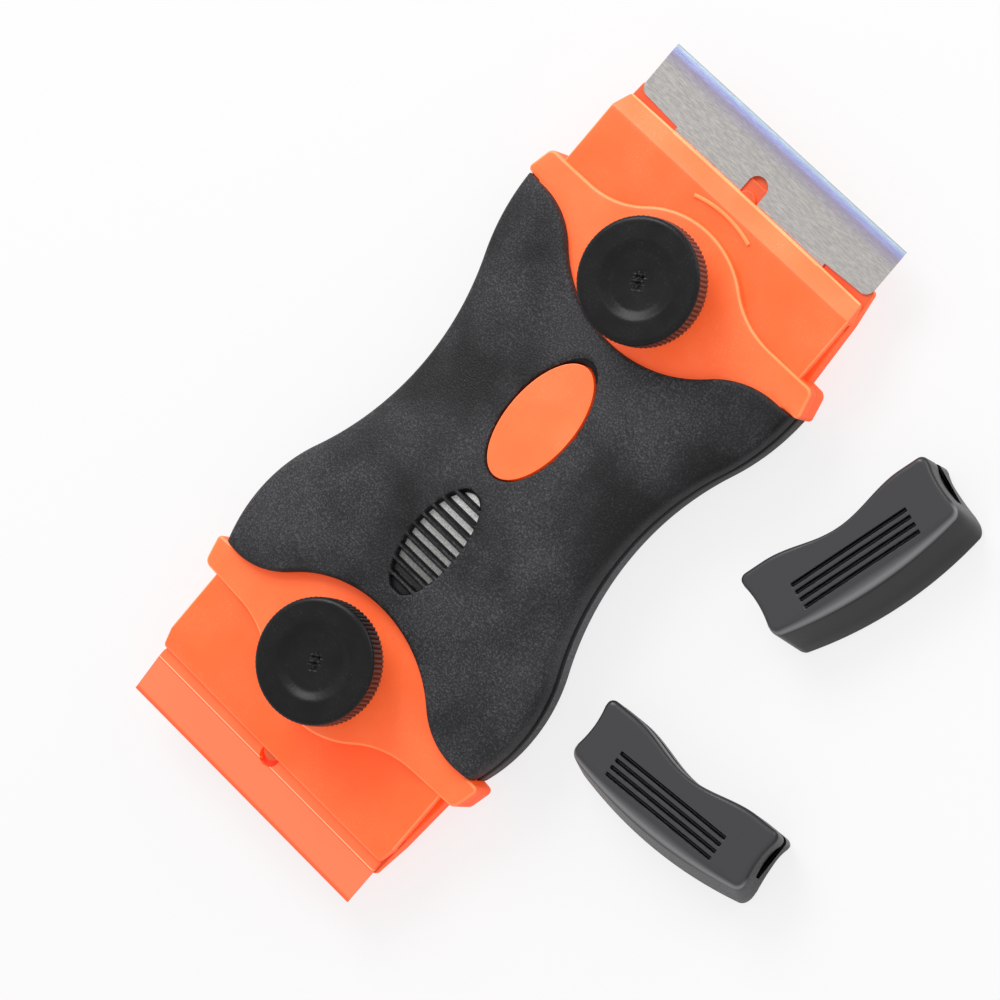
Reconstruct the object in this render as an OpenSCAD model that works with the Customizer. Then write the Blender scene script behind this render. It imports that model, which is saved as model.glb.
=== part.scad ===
// Razor blade scraper: two handle halves clamped by two thumb knobs, a steel
// blade, a plastic blade and two slip-on blade covers.
// Millimetres, +Z up, +Y towards the steel blade. The tool rests on z = 0.

/* [Handle] */
// Half width of the handle at its waist
waist_half_w = 17.7; // [15:0.1:20]
// Distance of the waist ahead of the middle of the tool
waist_y = 6; // [2:0.5:9]
// Radius of the waist curve
waist_r = 37; // [25:1:45]
// Half width of the flare behind the steel blade
front_half_w = 23.2; // [21:0.1:25]
// Distance from the middle to the widest place of the front flare
front_flare_y = 31; // [28:0.5:34]
// Half width of the palm end
rear_half_w = 24.7; // [22:0.1:27]
// Distance from the middle back to the widest place of the palm end
rear_flare_y = 23; // [20:0.5:27]
// Height of the parting plane above the surface the tool rests on
seam_z = 6; // [5.5:0.1:6.2]
// Height of the slit between the two soft grips
seam_slit = 0.3; // [0.1:0.05:0.8]

/* [Soft grips] */
// Distance from the middle to the ends of the grips
grip_end_y = 30.4; // [29:0.1:31.5]
// How far the round notch for the saddle cuts in from the end
notch_depth = 8.45; // [6:0.05:10]
// Radius of the notch
notch_r = 18.05; // [15:0.05:22]
// Radius of the horns beside the notch
horn_r = 11; // [6:0.1:12]
// Height of the straight sides, from the parting plane
grip_side_h = 2.6; // [1.5:0.1:3.5]
// Thickness of the soft layer at the sides
grip_side_t = 1.6; // [1:0.1:3]
// Height of the upper crown at its ends, from the parting plane
grip_crown_h = 5.2; // [4.8:0.1:7]
// Further height of the palm swell
palm_rise = 1.6; // [0:0.1:3]
// Distance from the middle back to the top of the palm swell
palm_y = 9; // [4:0.5:14]
// Length over which the palm swell dies away
palm_len = 13; // [8:0.5:18]
// Depth of the lower crown, from the parting plane
lower_crown_h = 6.4; // [6.3:0.1:8]
// Roundness exponent of the upper cross-section
upper_power = 2.6; // [2:0.1:4]
// Roundness exponent of the lower cross-section
lower_power = 3.2; // [2:0.1:5]

/* [Oval and ribs] */
// Distance of the oval's centre ahead of the middle
oval_y = 9.2; // [6:0.1:11]
// Half length of the oval
oval_half_len = 9; // [6:0.1:10]
// Half width of the oval
oval_half_w = 4.4; // [3:0.1:6]
// Gap between the oval and the grip round it
oval_gap = 0.25; // [0.1:0.05:0.5]
// Height of the oval's rear end above the parting plane
oval_rear_z = 6.0; // [5.4:0.1:6.6]
// Height of the oval's front end above the parting plane
oval_front_z = 4.8; // [4.4:0.1:5.2]
// How far the dent runs out ahead of the oval
dent_len = 1.6; // [0.5:0.1:2.5]
// Number of slots in the thumb patch
rib_count = 9; // [5:1:11]
// Spacing of the slots
rib_pitch = 1.9; // [1.4:0.1:2.2]
// Width of each slot
rib_slot_w = 1.1; // [0.6:0.1:1.3]
// Distance from the middle back to the patch's centre
rib_y = 11; // [9:0.1:14]
// Half length of the patch
rib_half_len = 8.8; // [6:0.1:10]
// Half width of the patch
rib_half_w = 3.4; // [2:0.1:5]
// Depth of the slots at the patch's centre
rib_depth = 1; // [0.4:0.1:1.6]

/* [Saddles] */
// Distance from the middle to the tip of each bell-shaped saddle
bell_y = 40.4; // [38:0.1:42]
// Radius of the bell's nose
bell_r = 12.9; // [10:0.1:15]
// Radius of the bell's hollow flanks
neck_r = 12; // [8:0.1:14]
// Distance from the middle to the front of the ears
ear_front_y = 34.7; // [33.8:0.1:36]
// Half width at the front of the ears
ear_front_half_w = 23.1; // [22:0.1:25]
// Half width at the back of the ears
ear_rear_half_w = 24.1; // [23:0.1:26]
// Height of the upper saddle at its middle
saddle_h = 4.1; // [3.6:0.1:4.6]
// Radius of the upper saddle's crown
saddle_crown_r = 160; // [110:5:300]
// Depth of the lower saddle at its middle
lower_saddle_h = 4.6; // [4.2:0.1:5.2]
// Radius of the lower saddle's crown
lower_crown_r = 200; // [120:5:400]

/* [Jaws] */
// Half width of the upper jaws
jaw_half_w = 20.8; // [20.4:0.1:22]
// Half width of the upper jaws at their front edge
jaw_nose_half_w = 20.25; // [19:0.05:20.4]
// Distance from the middle to the upper jaws' front edge
jaw_front_y = 46.3; // [45:0.1:47]
// Length of the sloping front of the upper jaws
jaw_slope_len = 2.6; // [1:0.1:4]
// Height of the upper jaws' flat top, from the parting plane
jaw_top_z = 2.5; // [2.3:0.1:2.8]
// Height of the front edge above the blade
jaw_nose_h = 0.75; // [0.6:0.05:1]
// Height of the relief under the upper jaws
jaw_gap = 1.4; // [1.3:0.05:1.6]
// Length of the lip that presses on the blade
lip_len = 3.1; // [1.5:0.1:4.5]
// Distance from the middle to the lower jaws' front edge
lower_jaw_front_y = 48.4; // [47.4:0.1:50]
// Half width of the lower jaws at their front edge
lower_jaw_nose_half_w = 20.3; // [19:0.05:20.4]
// Half width of the lower jaws beside the ears
lower_jaw_half_w = 21.2; // [20.4:0.1:22]
// Thickness of the lower jaws
lower_jaw_t = 2.4; // [1.8:0.1:3]
// Thickness of the lower jaws at their front edge
lower_jaw_nose_t = 1; // [0.6:0.1:1.6]
// Length of the slope under the lower jaws' front
lower_slope_len = 5; // [2:0.1:8]
// Height of the curved mark on the front jaw
mark_h = 0.3; // [0.1:0.05:0.5]
// Width of the curved mark's line
mark_w = 0.55; // [0.3:0.05:0.8]
// Half length of the curved mark
mark_half_len = 4.8; // [3:0.1:6]
// Distance of the curved mark ahead of the bell's tip
mark_ahead = 2.4; // [1:0.1:3]

/* [Blades] */
// Width of each blade along its cutting edges
blade_w = 40; // [38:0.1:40.4]
// Height of each blade from one cutting edge to the other
blade_h = 18.6; // [18:0.1:19]
// Distance from a cutting edge to the shoulder
shoulder_len = 6.9; // [5.5:0.1:7.5]
// Fall of the shoulder towards the side notch
shoulder_fall = 0.9; // [0.2:0.1:1.5]
// Radius of the shoulder's corner
shoulder_r = 1.1; // [0.5:0.1:1.5]
// Depth of the notch in each side
side_notch = 4.4; // [2:0.1:6]
// Width of the centre slot
slot_w = 2.9; // [2.4:0.1:3.4]
// Length of the centre slot
slot_len = 7.6; // [7:0.1:8.4]
// Thickness of the steel blade
steel_t = 0.25; // [0.2:0.05:0.5]
// Length of the steel blade's ground edge
steel_bevel = 1.2; // [0.5:0.1:2]
// Thickness at the steel blade's cutting edge
steel_edge_t = 0.05; // [0.03:0.01:0.1]
// Thickness of the plastic blade
plastic_t = 1.2; // [1:0.05:1.25]
// Length of the plastic blade's sloping edge
plastic_bevel = 5.4; // [3:0.1:6]
// Thickness at the plastic blade's cutting edge
plastic_edge_t = 0.3; // [0.2:0.05:0.6]
// How far the steel blade's centre stands ahead of its post
steel_set = 0.7; // [0.2:0.1:0.9]
// How far the plastic blade's centre stands behind its post
plastic_set = 0.6; // [0:0.1:0.7]
// Width of the locating posts
post_w = 2.4; // [1.8:0.1:2.6]
// Length of the locating posts
post_len = 5.2; // [4:0.1:5.4]
// Distance from the middle to the centre of the posts
post_y = 44.5; // [44.3:0.1:44.6]
// How far the posts stand above their blade
post_proud = 0.35; // [0.1:0.05:0.4]
// Clearance round the posts and over the blades' ends
post_clear = 0.2; // [0.1:0.05:0.3]

/* [Clamp screws] */
// Gap between the screws and the back edge of the plastic blade
screw_gap = 1.4; // [0.8:0.1:2.1]
// Diameter of the screws
bolt_d = 4; // [3:0.1:4.4]
// Width across the flats of the hex heads
hex_flats = 7; // [6:0.1:8]
// Height of the hex heads
hex_h = 2.6; // [2:0.1:3]
// Clearance round the hex heads in their pockets
hex_clear = 0.15; // [0.05:0.05:0.3]
// How far the heads sit inside the lower saddle
hex_sink = 0.2; // [0:0.05:0.5]
// Clearance of the screws in the two halves
bolt_clear = 0.4; // [0.2:0.05:0.6]
// Running clearance of the inserts on the screws
thread_clear = 0.05; // [0.02:0.01:0.1]
// Length of screw that stands above the upper washers
bolt_reach = 5; // [4:0.1:5.2]
// Depth of the flat seat for the washers
seat_depth = 0.2; // [0.1:0.05:0.4]
// Room between the washers and the rim of their seat
seat_clear = 0.6; // [0.3:0.1:1]
// Diameter of the washers
washer_d = 10.4; // [9:0.1:11]
// Thickness of the washers
washer_t = 0.8; // [0.5:0.1:1.2]

/* [Knobs] */
// Diameter of the knurled discs
knob_d = 16.1; // [14:0.1:18]
// Height of the knurled discs
disc_h = 4; // [3:0.1:5]
// Radius of the discs' rounded rims
rim_r = 0.7; // [0.3:0.1:1]
// Diameter of the collars under the discs
collar_d = 11.4; // [9:0.1:13]
// Height of the collars
collar_h = 3.6; // [2.5:0.1:5]
// Number of knurl teeth
knurl_count = 80; // [40:1:100]
// Depth of the knurl
knurl_depth = 0.3; // [0.1:0.05:0.5]
// Diameter of the dish in the top
dish_d = 9.4; // [7:0.1:12]
// Depth of the dish
dish_depth = 0.5; // [0.2:0.05:0.8]
// Diameter of the brass inserts
insert_d = 6.4; // [5.6:0.1:7.5]
// Length of the brass inserts
insert_len = 6; // [4.5:0.1:6.2]
// Width of the locking groove round the inserts
insert_groove_w = 1; // [0.5:0.1:1.5]
// Depth of the locking groove
insert_groove_depth = 0.3; // [0.1:0.05:0.4]

/* [Handle inside] */
// Diameter of the locating pins between the halves
pin_d = 3; // [2:0.1:4]
// Height of the locating pins
pin_h = 1.6; // [1:0.1:1.8]
// Distance of the pins from the middle line
pin_x = 8; // [5:0.1:10]
// Clearance of the pins in their holes
pin_clear = 0.25; // [0.15:0.05:0.4]
// Width of the cross wall that carries the pins
cross_wall = 6; // [5:0.1:8]
// Wall round the hollows of the halves
shell_wall = 2.4; // [1.6:0.1:3]
// Distance from the middle to the ends of the hollows
hollow_end_y = 17; // [12:0.1:18]
// Depth of the hollow in the upper half
upper_hollow = 1.9; // [1:0.1:2.4]
// Depth of the hollow in the lower half
lower_hollow = 2.4; // [1:0.1:2.8]

/* [Covers] */
// Length of the blade covers
cover_len = 28.5; // [26:0.1:34]
// Depth of the covers at their ends
cover_depth = 8.6; // [8:0.1:12]
// Height of the covers
cover_h = 8; // [7:0.1:10]
// How far the front bulges out
front_bulge = 1.9; // [0.5:0.1:4]
// How far the foot of the front stands out beyond its top
front_lean = 2.6; // [0:0.1:3]
// How far the open side is hollowed
rear_dip = 1.7; // [0.5:0.1:2]
// How far the foot of the open side is drawn in under its top
rear_undercut = 1.4; // [0:0.1:1.8]
// How far the ends are hollowed
end_dip = 0.7; // [0:0.05:0.9]
// Radius of the corners in plan
cover_corner_r = 1.4; // [1:0.1:2]
// Radius of the top and bottom edges
cover_edge_r = 0.8; // [0.4:0.1:1]
// Height of the blade slot's floor above the underside
edge_slot_z = 3; // [2:0.1:4]
// Clearance of the blades in the slot
cover_clear = 0.15; // [0.1:0.05:0.5]
// Length of the grooves on the covers
groove_len = 17; // [12:0.1:19]
// Width of the grooves
groove_w = 0.4; // [0.3:0.05:0.7]
// Spacing of the grooves
groove_pitch = 1.05; // [0.9:0.05:1.3]
// Depth of the grooves
groove_depth = 0.5; // [0.2:0.1:0.8]
// Number of grooves
groove_count = 4; // [2:1:4]
// Distance of the grooves' middle ahead of the cover's middle
groove_ahead = 2; // [1:0.1:2.4]
// Place of the front cover across the tool
front_cover_x = 38.9; // [36:0.1:60]
// Place of the front cover along the tool
front_cover_y = 23.6; // [15:0.1:28]
// Turn of the front cover
front_cover_turn = -105.5; // [-130:0.5:-80]
// Place of the rear cover across the tool
rear_cover_x = 43.1; // [42:0.1:70]
// Place of the rear cover along the tool
rear_cover_y = -13.4; // [-30:0.1:-12]
// Turn of the rear cover
rear_cover_turn = 185; // [170:1:200]

/* [Hidden] */
// How far cutting shapes run past what they cut
over = 2;
// Facets of round features
round_fn = 96;
// Facets of the long shallow crowns
crown_fn = 360;
// Steps along the outlines
edge_steps = 28;
// Steps along the grip
grip_steps = 34;
// Steps round half a grip cross-section
section_steps = 22;
// Centres of the blades, the working edge of the steel one, and the screws behind them
steel_y = post_y + steel_set;
plastic_y = post_y - plastic_set;
steel_edge_y = steel_y + blade_h / 2;
knob_y = plastic_y - blade_h / 2 - screw_gap - bolt_d / 2;
// Length of the cutting and crowning shapes
tool_len = 2 * (steel_edge_y + over);
// Width of the cutting shapes
tool_w = 2 * (rear_half_w + ear_rear_half_w);

// Arcs of the side outline, each tangent to the waist
front_sum_r = tangent_sum(front_half_w - waist_half_w, front_flare_y - waist_y);
rear_sum_r = tangent_sum(rear_half_w - waist_half_w, rear_flare_y + waist_y);
front_r = front_sum_r - waist_r;
rear_r = rear_sum_r - waist_r;
waist_cx = waist_half_w + waist_r;
front_cx = front_half_w - front_r;
rear_cx = rear_half_w - rear_r;
front_join_y = waist_y + (front_flare_y - waist_y) * waist_r / front_sum_r;
rear_join_y = waist_y - (rear_flare_y + waist_y) * waist_r / rear_sum_r;

// Arcs of the grip's notch and of the saddle's bell
notch_cy = grip_end_y - notch_depth + notch_r;
horn_cy = grip_end_y - horn_r;
horn_cx = arc_rise(notch_r + horn_r, notch_cy - horn_cy);
notch_join_x = horn_cx * notch_r / (notch_r + horn_r);
bell_cy = bell_y - bell_r;
neck_cy = ear_front_y + neck_r;
neck_cx = arc_rise(bell_r + neck_r, neck_cy - bell_cy);
bell_join_x = neck_cx * bell_r / (bell_r + neck_r);

// Heights from the parting plane up through the clamp
seat_z = saddle_h - seat_depth;
knob_base_z = seat_z + washer_t;
disc_z = knob_base_z + collar_h;
knob_top_z = disc_z + disc_h;
hex_base_z = -lower_saddle_h + hex_sink;
hex_top_z = hex_base_z + hex_h;
bolt_top_z = knob_base_z + bolt_reach;

// Places along the heads
lip_y = jaw_front_y - lip_len;
slope_y = jaw_front_y - jaw_slope_len;
pocket_y = knob_y + bolt_d / 2 + bolt_clear + post_clear;
pocket_half_w = blade_w / 2 + post_clear;
rib_floor_z = upper_h(-rib_y) - rib_depth;
oval_tilt = atan((oval_front_z - oval_rear_z) / (2 * oval_half_len));
oval_mid_z = (oval_front_z + oval_rear_z) / 2;

// Slot that takes the bare edge of either blade
cover_half_len = cover_len / 2;
cover_half_depth = cover_depth / 2;
edge_slot_h = plastic_t + 2 * cover_clear;
edge_slot_depth = steel_edge_y - lower_jaw_front_y + cover_clear;
// Share of the cover's length that the hollow of its open side takes
dip_share = 0.72;
// Steps along one side and round one corner of the covers
cover_side_steps = 20;
cover_end_steps = 6;
cover_corner_steps = 4;
cover_edge_steps = 3;

// Sum of the radii of two arcs that meet tangent across a rise and a run
function tangent_sum(rise, run) = (rise * rise + run * run) / (2 * rise);

// Height of an arc of radius r at distance d from its centre line
function arc_rise(r, d) = sqrt(max(0, r * r - d * d));

// Half width of the handle
function half_w(y) =
    y > front_join_y ? front_cx + arc_rise(front_r, y - front_flare_y)
    : y < rear_join_y ? rear_cx + arc_rise(rear_r, y + rear_flare_y)
    : waist_cx - arc_rise(waist_r, y - waist_y);

// Edge of the soft grip towards a head
function grip_edge(x) =
    abs(x) < notch_join_x ? notch_cy - arc_rise(notch_r, x)
    : abs(x) < horn_cx ? horn_cy + arc_rise(horn_r, abs(x) - horn_cx)
    : grip_end_y;

// Edge of the saddle towards its jaw
function saddle_edge(x) =
    abs(x) < bell_join_x ? bell_cy + arc_rise(bell_r, x)
    : abs(x) < neck_cx ? neck_cy - arc_rise(neck_r, abs(x) - neck_cx)
    : ear_front_y;

// Crown heights of the two grips
function upper_h(y) = grip_crown_h + palm_rise * exp(-pow((y + palm_y) / palm_len, 2));
function lower_h(y) = lower_crown_h;

// Signed power, which rounds a cross-section more or less than an ellipse
function round_pow(v, p) = sign(v) * pow(abs(v), 2 / p);

// Points spaced evenly from a to b
function steps(a, b, n) = [for (i = [0:n]) a + (b - a) * i / n];

// Points mirrored across the middle line and walked the other way
function mirrored(pts) = [for (i = [len(pts) - 1:-1:0]) if (pts[i][0] > 0) [-pts[i][0], pts[i][1]]];

// Outline of both handle halves: two saddles joined by the core under the grip
shell_right = concat(
    [for (x = steps(0, ear_front_half_w, edge_steps)) [x, saddle_edge(x)]],
    [[ear_rear_half_w, grip_end_y]],
    [for (y = steps(grip_end_y, -grip_end_y, edge_steps)) [half_w(y) - grip_side_t, y]],
    [[ear_rear_half_w, -grip_end_y]],
    [for (x = steps(ear_front_half_w, 0, edge_steps)) [x, -saddle_edge(x)]]
);
shell_outline = concat(shell_right, mirrored(shell_right));

// One cross-section of a grip, from one side over the crown to the other
function grip_ring(y, h, power) = concat(
    [[half_w(y), y, seam_slit / 2]],
    [for (a = steps(0, 180, section_steps))
        [half_w(y) * round_pow(cos(a), power), y,
         grip_side_h + (h - grip_side_h) * round_pow(sin(a), power)]],
    [[-half_w(y), y, seam_slit / 2]]
);

// Rounded bar seen from above, before its sides are hollowed or bulged
function bar_corner(cx, cy, r, a0) =
    [for (a = steps(a0, a0 + 90, cover_corner_steps)) [cx + r * cos(a), cy + r * sin(a)]];
function bar_outline(inset) =
    let (l = cover_half_len - cover_corner_r, d = cover_half_depth - cover_corner_r,
         r = cover_corner_r - inset)
    concat(
        bar_corner(l, d, r, 0),
        [for (u = steps(l, -l, cover_side_steps)) if (abs(u) < l) [u, d + r]],
        bar_corner(-l, d, r, 90),
        [for (v = steps(d, -d, cover_end_steps)) if (abs(v) < d) [-l - r, v]],
        bar_corner(-l, -d, r, 180),
        [for (u = steps(-l, l, cover_side_steps)) if (abs(u) < l) [u, -d - r]],
        bar_corner(l, -d, r, 270),
        [for (v = steps(-d, d, cover_end_steps)) if (abs(v) < d) [l + r, v]]
    );

// Hollow of the cover's open side: one at the middle, nothing past its share
function dip_shape(s) = abs(s) < dip_share ? pow(cos(90 * s / dip_share), 2) : 0;

// Bulge and lean the front, hollow and undercut the open side and hollow the ends
function cover_shape(p, z) =
    let (t = p[1] / cover_half_depth, s = p[0] / cover_half_len, foot_share = 1 - z / cover_h,
         out = t > 0 ? t * (front_bulge * (1 - s * s) + front_lean * foot_share)
                     : -t * (rear_dip * dip_shape(s) + rear_undercut * foot_share))
    [p[0] - sign(s) * end_dip * (1 - t * t) * pow(abs(s), 4), p[1] + out];

// One level of the cover's skin
function cover_ring(inset, z) = [for (p = bar_outline(inset)) let (q = cover_shape(p, z)) [q[0], q[1], z]];

// Points of an ellipse
function ellipse(a, b) = [for (t = [0:360 / round_fn:360 - 360 / round_fn]) [a * cos(t), b * sin(t)]];

// Closed skin through rings of equal count
module skin(rings) {
    n = len(rings[0]);
    m = len(rings);
    sides = [for (j = [0:m - 2], i = [0:n - 1])
        let (k = (i + 1) % n, a = j * n, b = a + n)
        each [[a + i, b + i, b + k], [a + i, b + k, a + k]]];
    polyhedron([for (r = rings) each r], concat(
        [[for (i = [0:n - 1]) i]], sides, [[for (i = [n - 1:-1:0]) (m - 1) * n + i]]));
}

// Profile given along and up the tool, run across its width
module across(width) {
    rotate([90, 0, 90])
        linear_extrude(height = width, center = true) children();
}

// Both ends of the tool: the second copy is turned to the rear head
module both_heads() {
    children();
    mirror([0, 1, 0]) children();
}

// Lift from the parting plane to the resting frame
module at_seam() {
    translate([0, 0, seam_z]) children();
}

// Plate with the shell outline and a crowned face
module crowned_plate(h, crown_r) {
    intersection() {
        linear_extrude(height = h) polygon(shell_outline);
        translate([0, 0, h - crown_r])
            rotate([90, 0, 0])
                cylinder(r = crown_r, h = tool_len, center = true, $fn = crown_fn);
    }
}

// Hollows on both sides of the cross wall that carries the pins
module hollows(depth) {
    for (ends = [[cross_wall / 2, hollow_end_y], [-hollow_end_y, -cross_wall / 2]]) {
        side = [for (y = steps(ends[0], ends[1], edge_steps / 2))
            [half_w(y) - grip_side_t - shell_wall, y]];
        translate([0, 0, -over])
            linear_extrude(height = depth + over)
                polygon(concat(side, mirrored(side)));
    }
}

// Upper jaw: plate with a sloping nose and a lip down on the blade
module upper_jaw(blade_t) {
    plan = [[jaw_half_w, grip_end_y], [jaw_half_w, slope_y], [jaw_nose_half_w, jaw_front_y]];
    intersection() {
        across(tool_w)
            polygon([
                [grip_end_y, 0], [ear_front_y, 0], [ear_front_y, jaw_gap], [lip_y, jaw_gap],
                [lip_y, blade_t], [jaw_front_y, blade_t], [jaw_front_y, blade_t + jaw_nose_h],
                [slope_y, jaw_top_z], [grip_end_y, jaw_top_z]
            ]);
        linear_extrude(height = jaw_top_z)
            polygon(concat(plan, mirrored(plan)));
    }
}

// Relief for the blade and notch for the locating post, cut into an upper head
module blade_relief(blade_t) {
    translate([-pocket_half_w, pocket_y, -over])
        cube([2 * pocket_half_w, lip_y - pocket_y, jaw_gap + over]);
    translate([-post_w / 2 - post_clear, lip_y - over, -over])
        cube([post_w + 2 * post_clear, jaw_front_y - lip_y + 2 * over,
              blade_t + post_proud + post_clear + over]);
}

// Lower jaw: flat seat for the blade, sloping underside, locating post
module lower_jaw(blade_t) {
    plan = [[lower_jaw_half_w, grip_end_y], [lower_jaw_half_w, ear_front_y],
            [lower_jaw_nose_half_w, lower_jaw_front_y]];
    intersection() {
        across(tool_w)
            polygon([
                [grip_end_y, 0], [grip_end_y, -lower_jaw_t],
                [lower_jaw_front_y - lower_slope_len, -lower_jaw_t],
                [lower_jaw_front_y, -lower_jaw_nose_t], [lower_jaw_front_y, 0]
            ]);
        translate([0, 0, -lower_jaw_t])
            linear_extrude(height = lower_jaw_t)
                polygon(concat(plan, mirrored(plan)));
    }
    post_h = lower_jaw_nose_t + blade_t + post_proud;
    for (y = [-1, 1])
        translate([0, post_y + y * (post_len - post_w) / 2, -lower_jaw_nose_t])
            cylinder(d = post_w, h = post_h, $fn = round_fn);
    translate([-post_w / 2, post_y - (post_len - post_w) / 2, -lower_jaw_nose_t])
        cube([post_w, post_len - post_w, post_h]);
}

// Screw hole and washer seat through an upper head
module upper_hole() {
    translate([0, knob_y, -over])
        cylinder(d = bolt_d + 2 * bolt_clear, h = saddle_h + 2 * over, $fn = round_fn);
    translate([0, knob_y, seat_z])
        cylinder(d = washer_d + 2 * seat_clear, h = over, $fn = round_fn);
}

// Screw hole and hex pocket through a lower head
module lower_hole() {
    translate([0, knob_y, -lower_saddle_h - over])
        cylinder(d = bolt_d + 2 * bolt_clear, h = lower_saddle_h + 2 * over, $fn = round_fn);
    translate([0, knob_y, -lower_saddle_h - over])
        cylinder(d = (hex_flats + 2 * hex_clear) / cos(30), h = hex_top_z + lower_saddle_h + over, $fn = 6);
}

// Sloping oval that shows through the window of the grip
module oval_island() {
    intersection() {
        translate([0, oval_y, 0])
            linear_extrude(height = oval_rear_z)
                polygon(ellipse(oval_half_w, oval_half_len));
        below_oval();
    }
}

// Everything under the oval's sloping plane
module below_oval() {
    translate([0, oval_y, oval_mid_z])
        rotate([oval_tilt, 0, 0])
            translate([-tool_w / 2, -tool_len / 2, -tool_w])
                cube([tool_w, tool_len, tool_w]);
}

// Curved mark in front of the bell
module jaw_mark() {
    r = bell_r + mark_ahead;
    outer = [for (x = steps(-mark_half_len, mark_half_len, edge_steps))
        [x, bell_cy + arc_rise(r + mark_w, x)]];
    inner = [for (x = steps(mark_half_len, -mark_half_len, edge_steps))
        [x, bell_cy + arc_rise(r, x)]];
    translate([0, 0, jaw_gap])
        linear_extrude(height = jaw_top_z + mark_h - jaw_gap)
            polygon(concat(outer, inner));
}

// Locating pins of the lower half, or with a clearance their holes
module pins(d, h) {
    for (x = [-pin_x, pin_x])
        translate([x, 0, -over])
            cylinder(d = d, h = h + over, $fn = round_fn);
}

// Space ahead of the grip's edge, cut from a grip
module notch_cut() {
    edge = [for (x = steps(-front_half_w, front_half_w, 2 * edge_steps)) [x, grip_edge(x)]];
    translate([0, 0, -tool_w / 2])
        linear_extrude(height = tool_w)
            polygon(concat(edge, [[front_half_w, bell_y], [-front_half_w, bell_y]]));
}

// Slots of the thumb patch
module rib_slots() {
    translate([0, -rib_y, rib_floor_z])
        linear_extrude(height = rib_depth + palm_rise)
            intersection() {
                polygon(ellipse(rib_half_w, rib_half_len));
                for (i = [0:rib_count - 1])
                    translate([-rib_half_w, (i - (rib_count - 1) / 2) * rib_pitch - rib_slot_w / 2])
                        square([2 * rib_half_w, rib_slot_w]);
            }
}

// Window for the oval, with the dent that runs out ahead of it
module oval_cut() {
    translate([0, oval_y, 0])
        linear_extrude(height = tool_w)
            polygon(ellipse(oval_half_w + oval_gap, oval_half_len + oval_gap));
    difference() {
        translate([0, oval_y + dent_len, oval_front_z - over])
            linear_extrude(height = tool_w)
                polygon(ellipse(oval_half_w, oval_half_len));
        below_oval();
    }
}

module lower_shell() {
    color("OrangeRed") at_seam() {
        difference() {
            union() {
                mirror([0, 0, 1]) crowned_plate(lower_saddle_h, lower_crown_r);
                lower_jaw(steel_t);
                mirror([0, 1, 0]) lower_jaw(plastic_t);
            }
            both_heads() lower_hole();
            mirror([0, 0, 1]) hollows(lower_hollow);
        }
        pins(pin_d, pin_h);
    }
}

module upper_shell() {
    color("OrangeRed") at_seam() difference() {
        union() {
            crowned_plate(saddle_h, saddle_crown_r);
            upper_jaw(steel_t);
            mirror([0, 1, 0]) upper_jaw(plastic_t);
            jaw_mark();
            oval_island();
        }
        both_heads() upper_hole();
        blade_relief(steel_t);
        mirror([0, 1, 0]) blade_relief(plastic_t);
        hollows(upper_hollow);
        pins(pin_d + 2 * pin_clear, pin_h + pin_clear);
    }
}

module upper_grip() {
    color("DimGray") at_seam() difference() {
        skin([for (y = steps(-grip_end_y, grip_end_y, grip_steps)) grip_ring(y, upper_h(y), upper_power)]);
        crowned_plate(saddle_h, saddle_crown_r);
        both_heads() notch_cut();
        oval_cut();
        rib_slots();
    }
}

module lower_grip() {
    color("DimGray") at_seam() mirror([0, 0, 1]) difference() {
        skin([for (y = steps(-grip_end_y, grip_end_y, grip_steps)) grip_ring(y, lower_h(y), lower_power)]);
        crowned_plate(lower_saddle_h, lower_crown_r);
        both_heads() notch_cut();
        translate([-tool_w / 2, -tool_len / 2, seam_z])
            cube([tool_w, tool_len, over]);
    }
}

// Hex-head screw, head down
module bolt() {
    translate([0, knob_y, hex_base_z])
        cylinder(d = hex_flats / cos(30), h = hex_h, $fn = 6);
    translate([0, knob_y, hex_base_z])
        cylinder(d = bolt_d, h = bolt_top_z - hex_base_z, $fn = round_fn);
}

module front_bolt() {
    color("Silver") at_seam() bolt();
}

module rear_bolt() {
    color("Silver") at_seam() mirror([0, 1, 0]) bolt();
}

// Flat washer on its seat
module washer() {
    translate([0, knob_y, seat_z])
        difference() {
            cylinder(d = washer_d, h = washer_t, $fn = round_fn);
            translate([0, 0, -over])
                cylinder(d = bolt_d + 2 * bolt_clear, h = washer_t + 2 * over, $fn = round_fn);
        }
}

module front_washer() {
    color("Silver") at_seam() washer();
}

module rear_washer() {
    color("Silver") at_seam() mirror([0, 1, 0]) washer();
}

// Turned body of the insert
module insert_blank() {
    r = insert_d / 2;
    groove_z = (insert_len - insert_groove_w) / 2;
    rotate_extrude($fn = round_fn)
        polygon([
            [0, 0], [r, 0], [r, groove_z], [r - insert_groove_depth, groove_z],
            [r - insert_groove_depth, groove_z + insert_groove_w], [r, groove_z + insert_groove_w],
            [r, insert_len], [0, insert_len]
        ]);
}

// Brass insert that runs on the screw
module insert() {
    translate([0, knob_y, knob_base_z])
        difference() {
            insert_blank();
            translate([0, 0, -over])
                cylinder(d = bolt_d + 2 * thread_clear, h = insert_len + 2 * over, $fn = round_fn);
        }
}

module front_insert() {
    color("Goldenrod") at_seam() insert();
}

module rear_insert() {
    color("Goldenrod") at_seam() mirror([0, 1, 0]) insert();
}

// Toothed outline of the knob's disc
module knurl_outline() {
    polygon([for (i = [0:2 * knurl_count - 1])
        let (r = knob_d / 2 - (i % 2) * knurl_depth, a = 180 * i / knurl_count)
        [r * cos(a), r * sin(a)]]);
}

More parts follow.
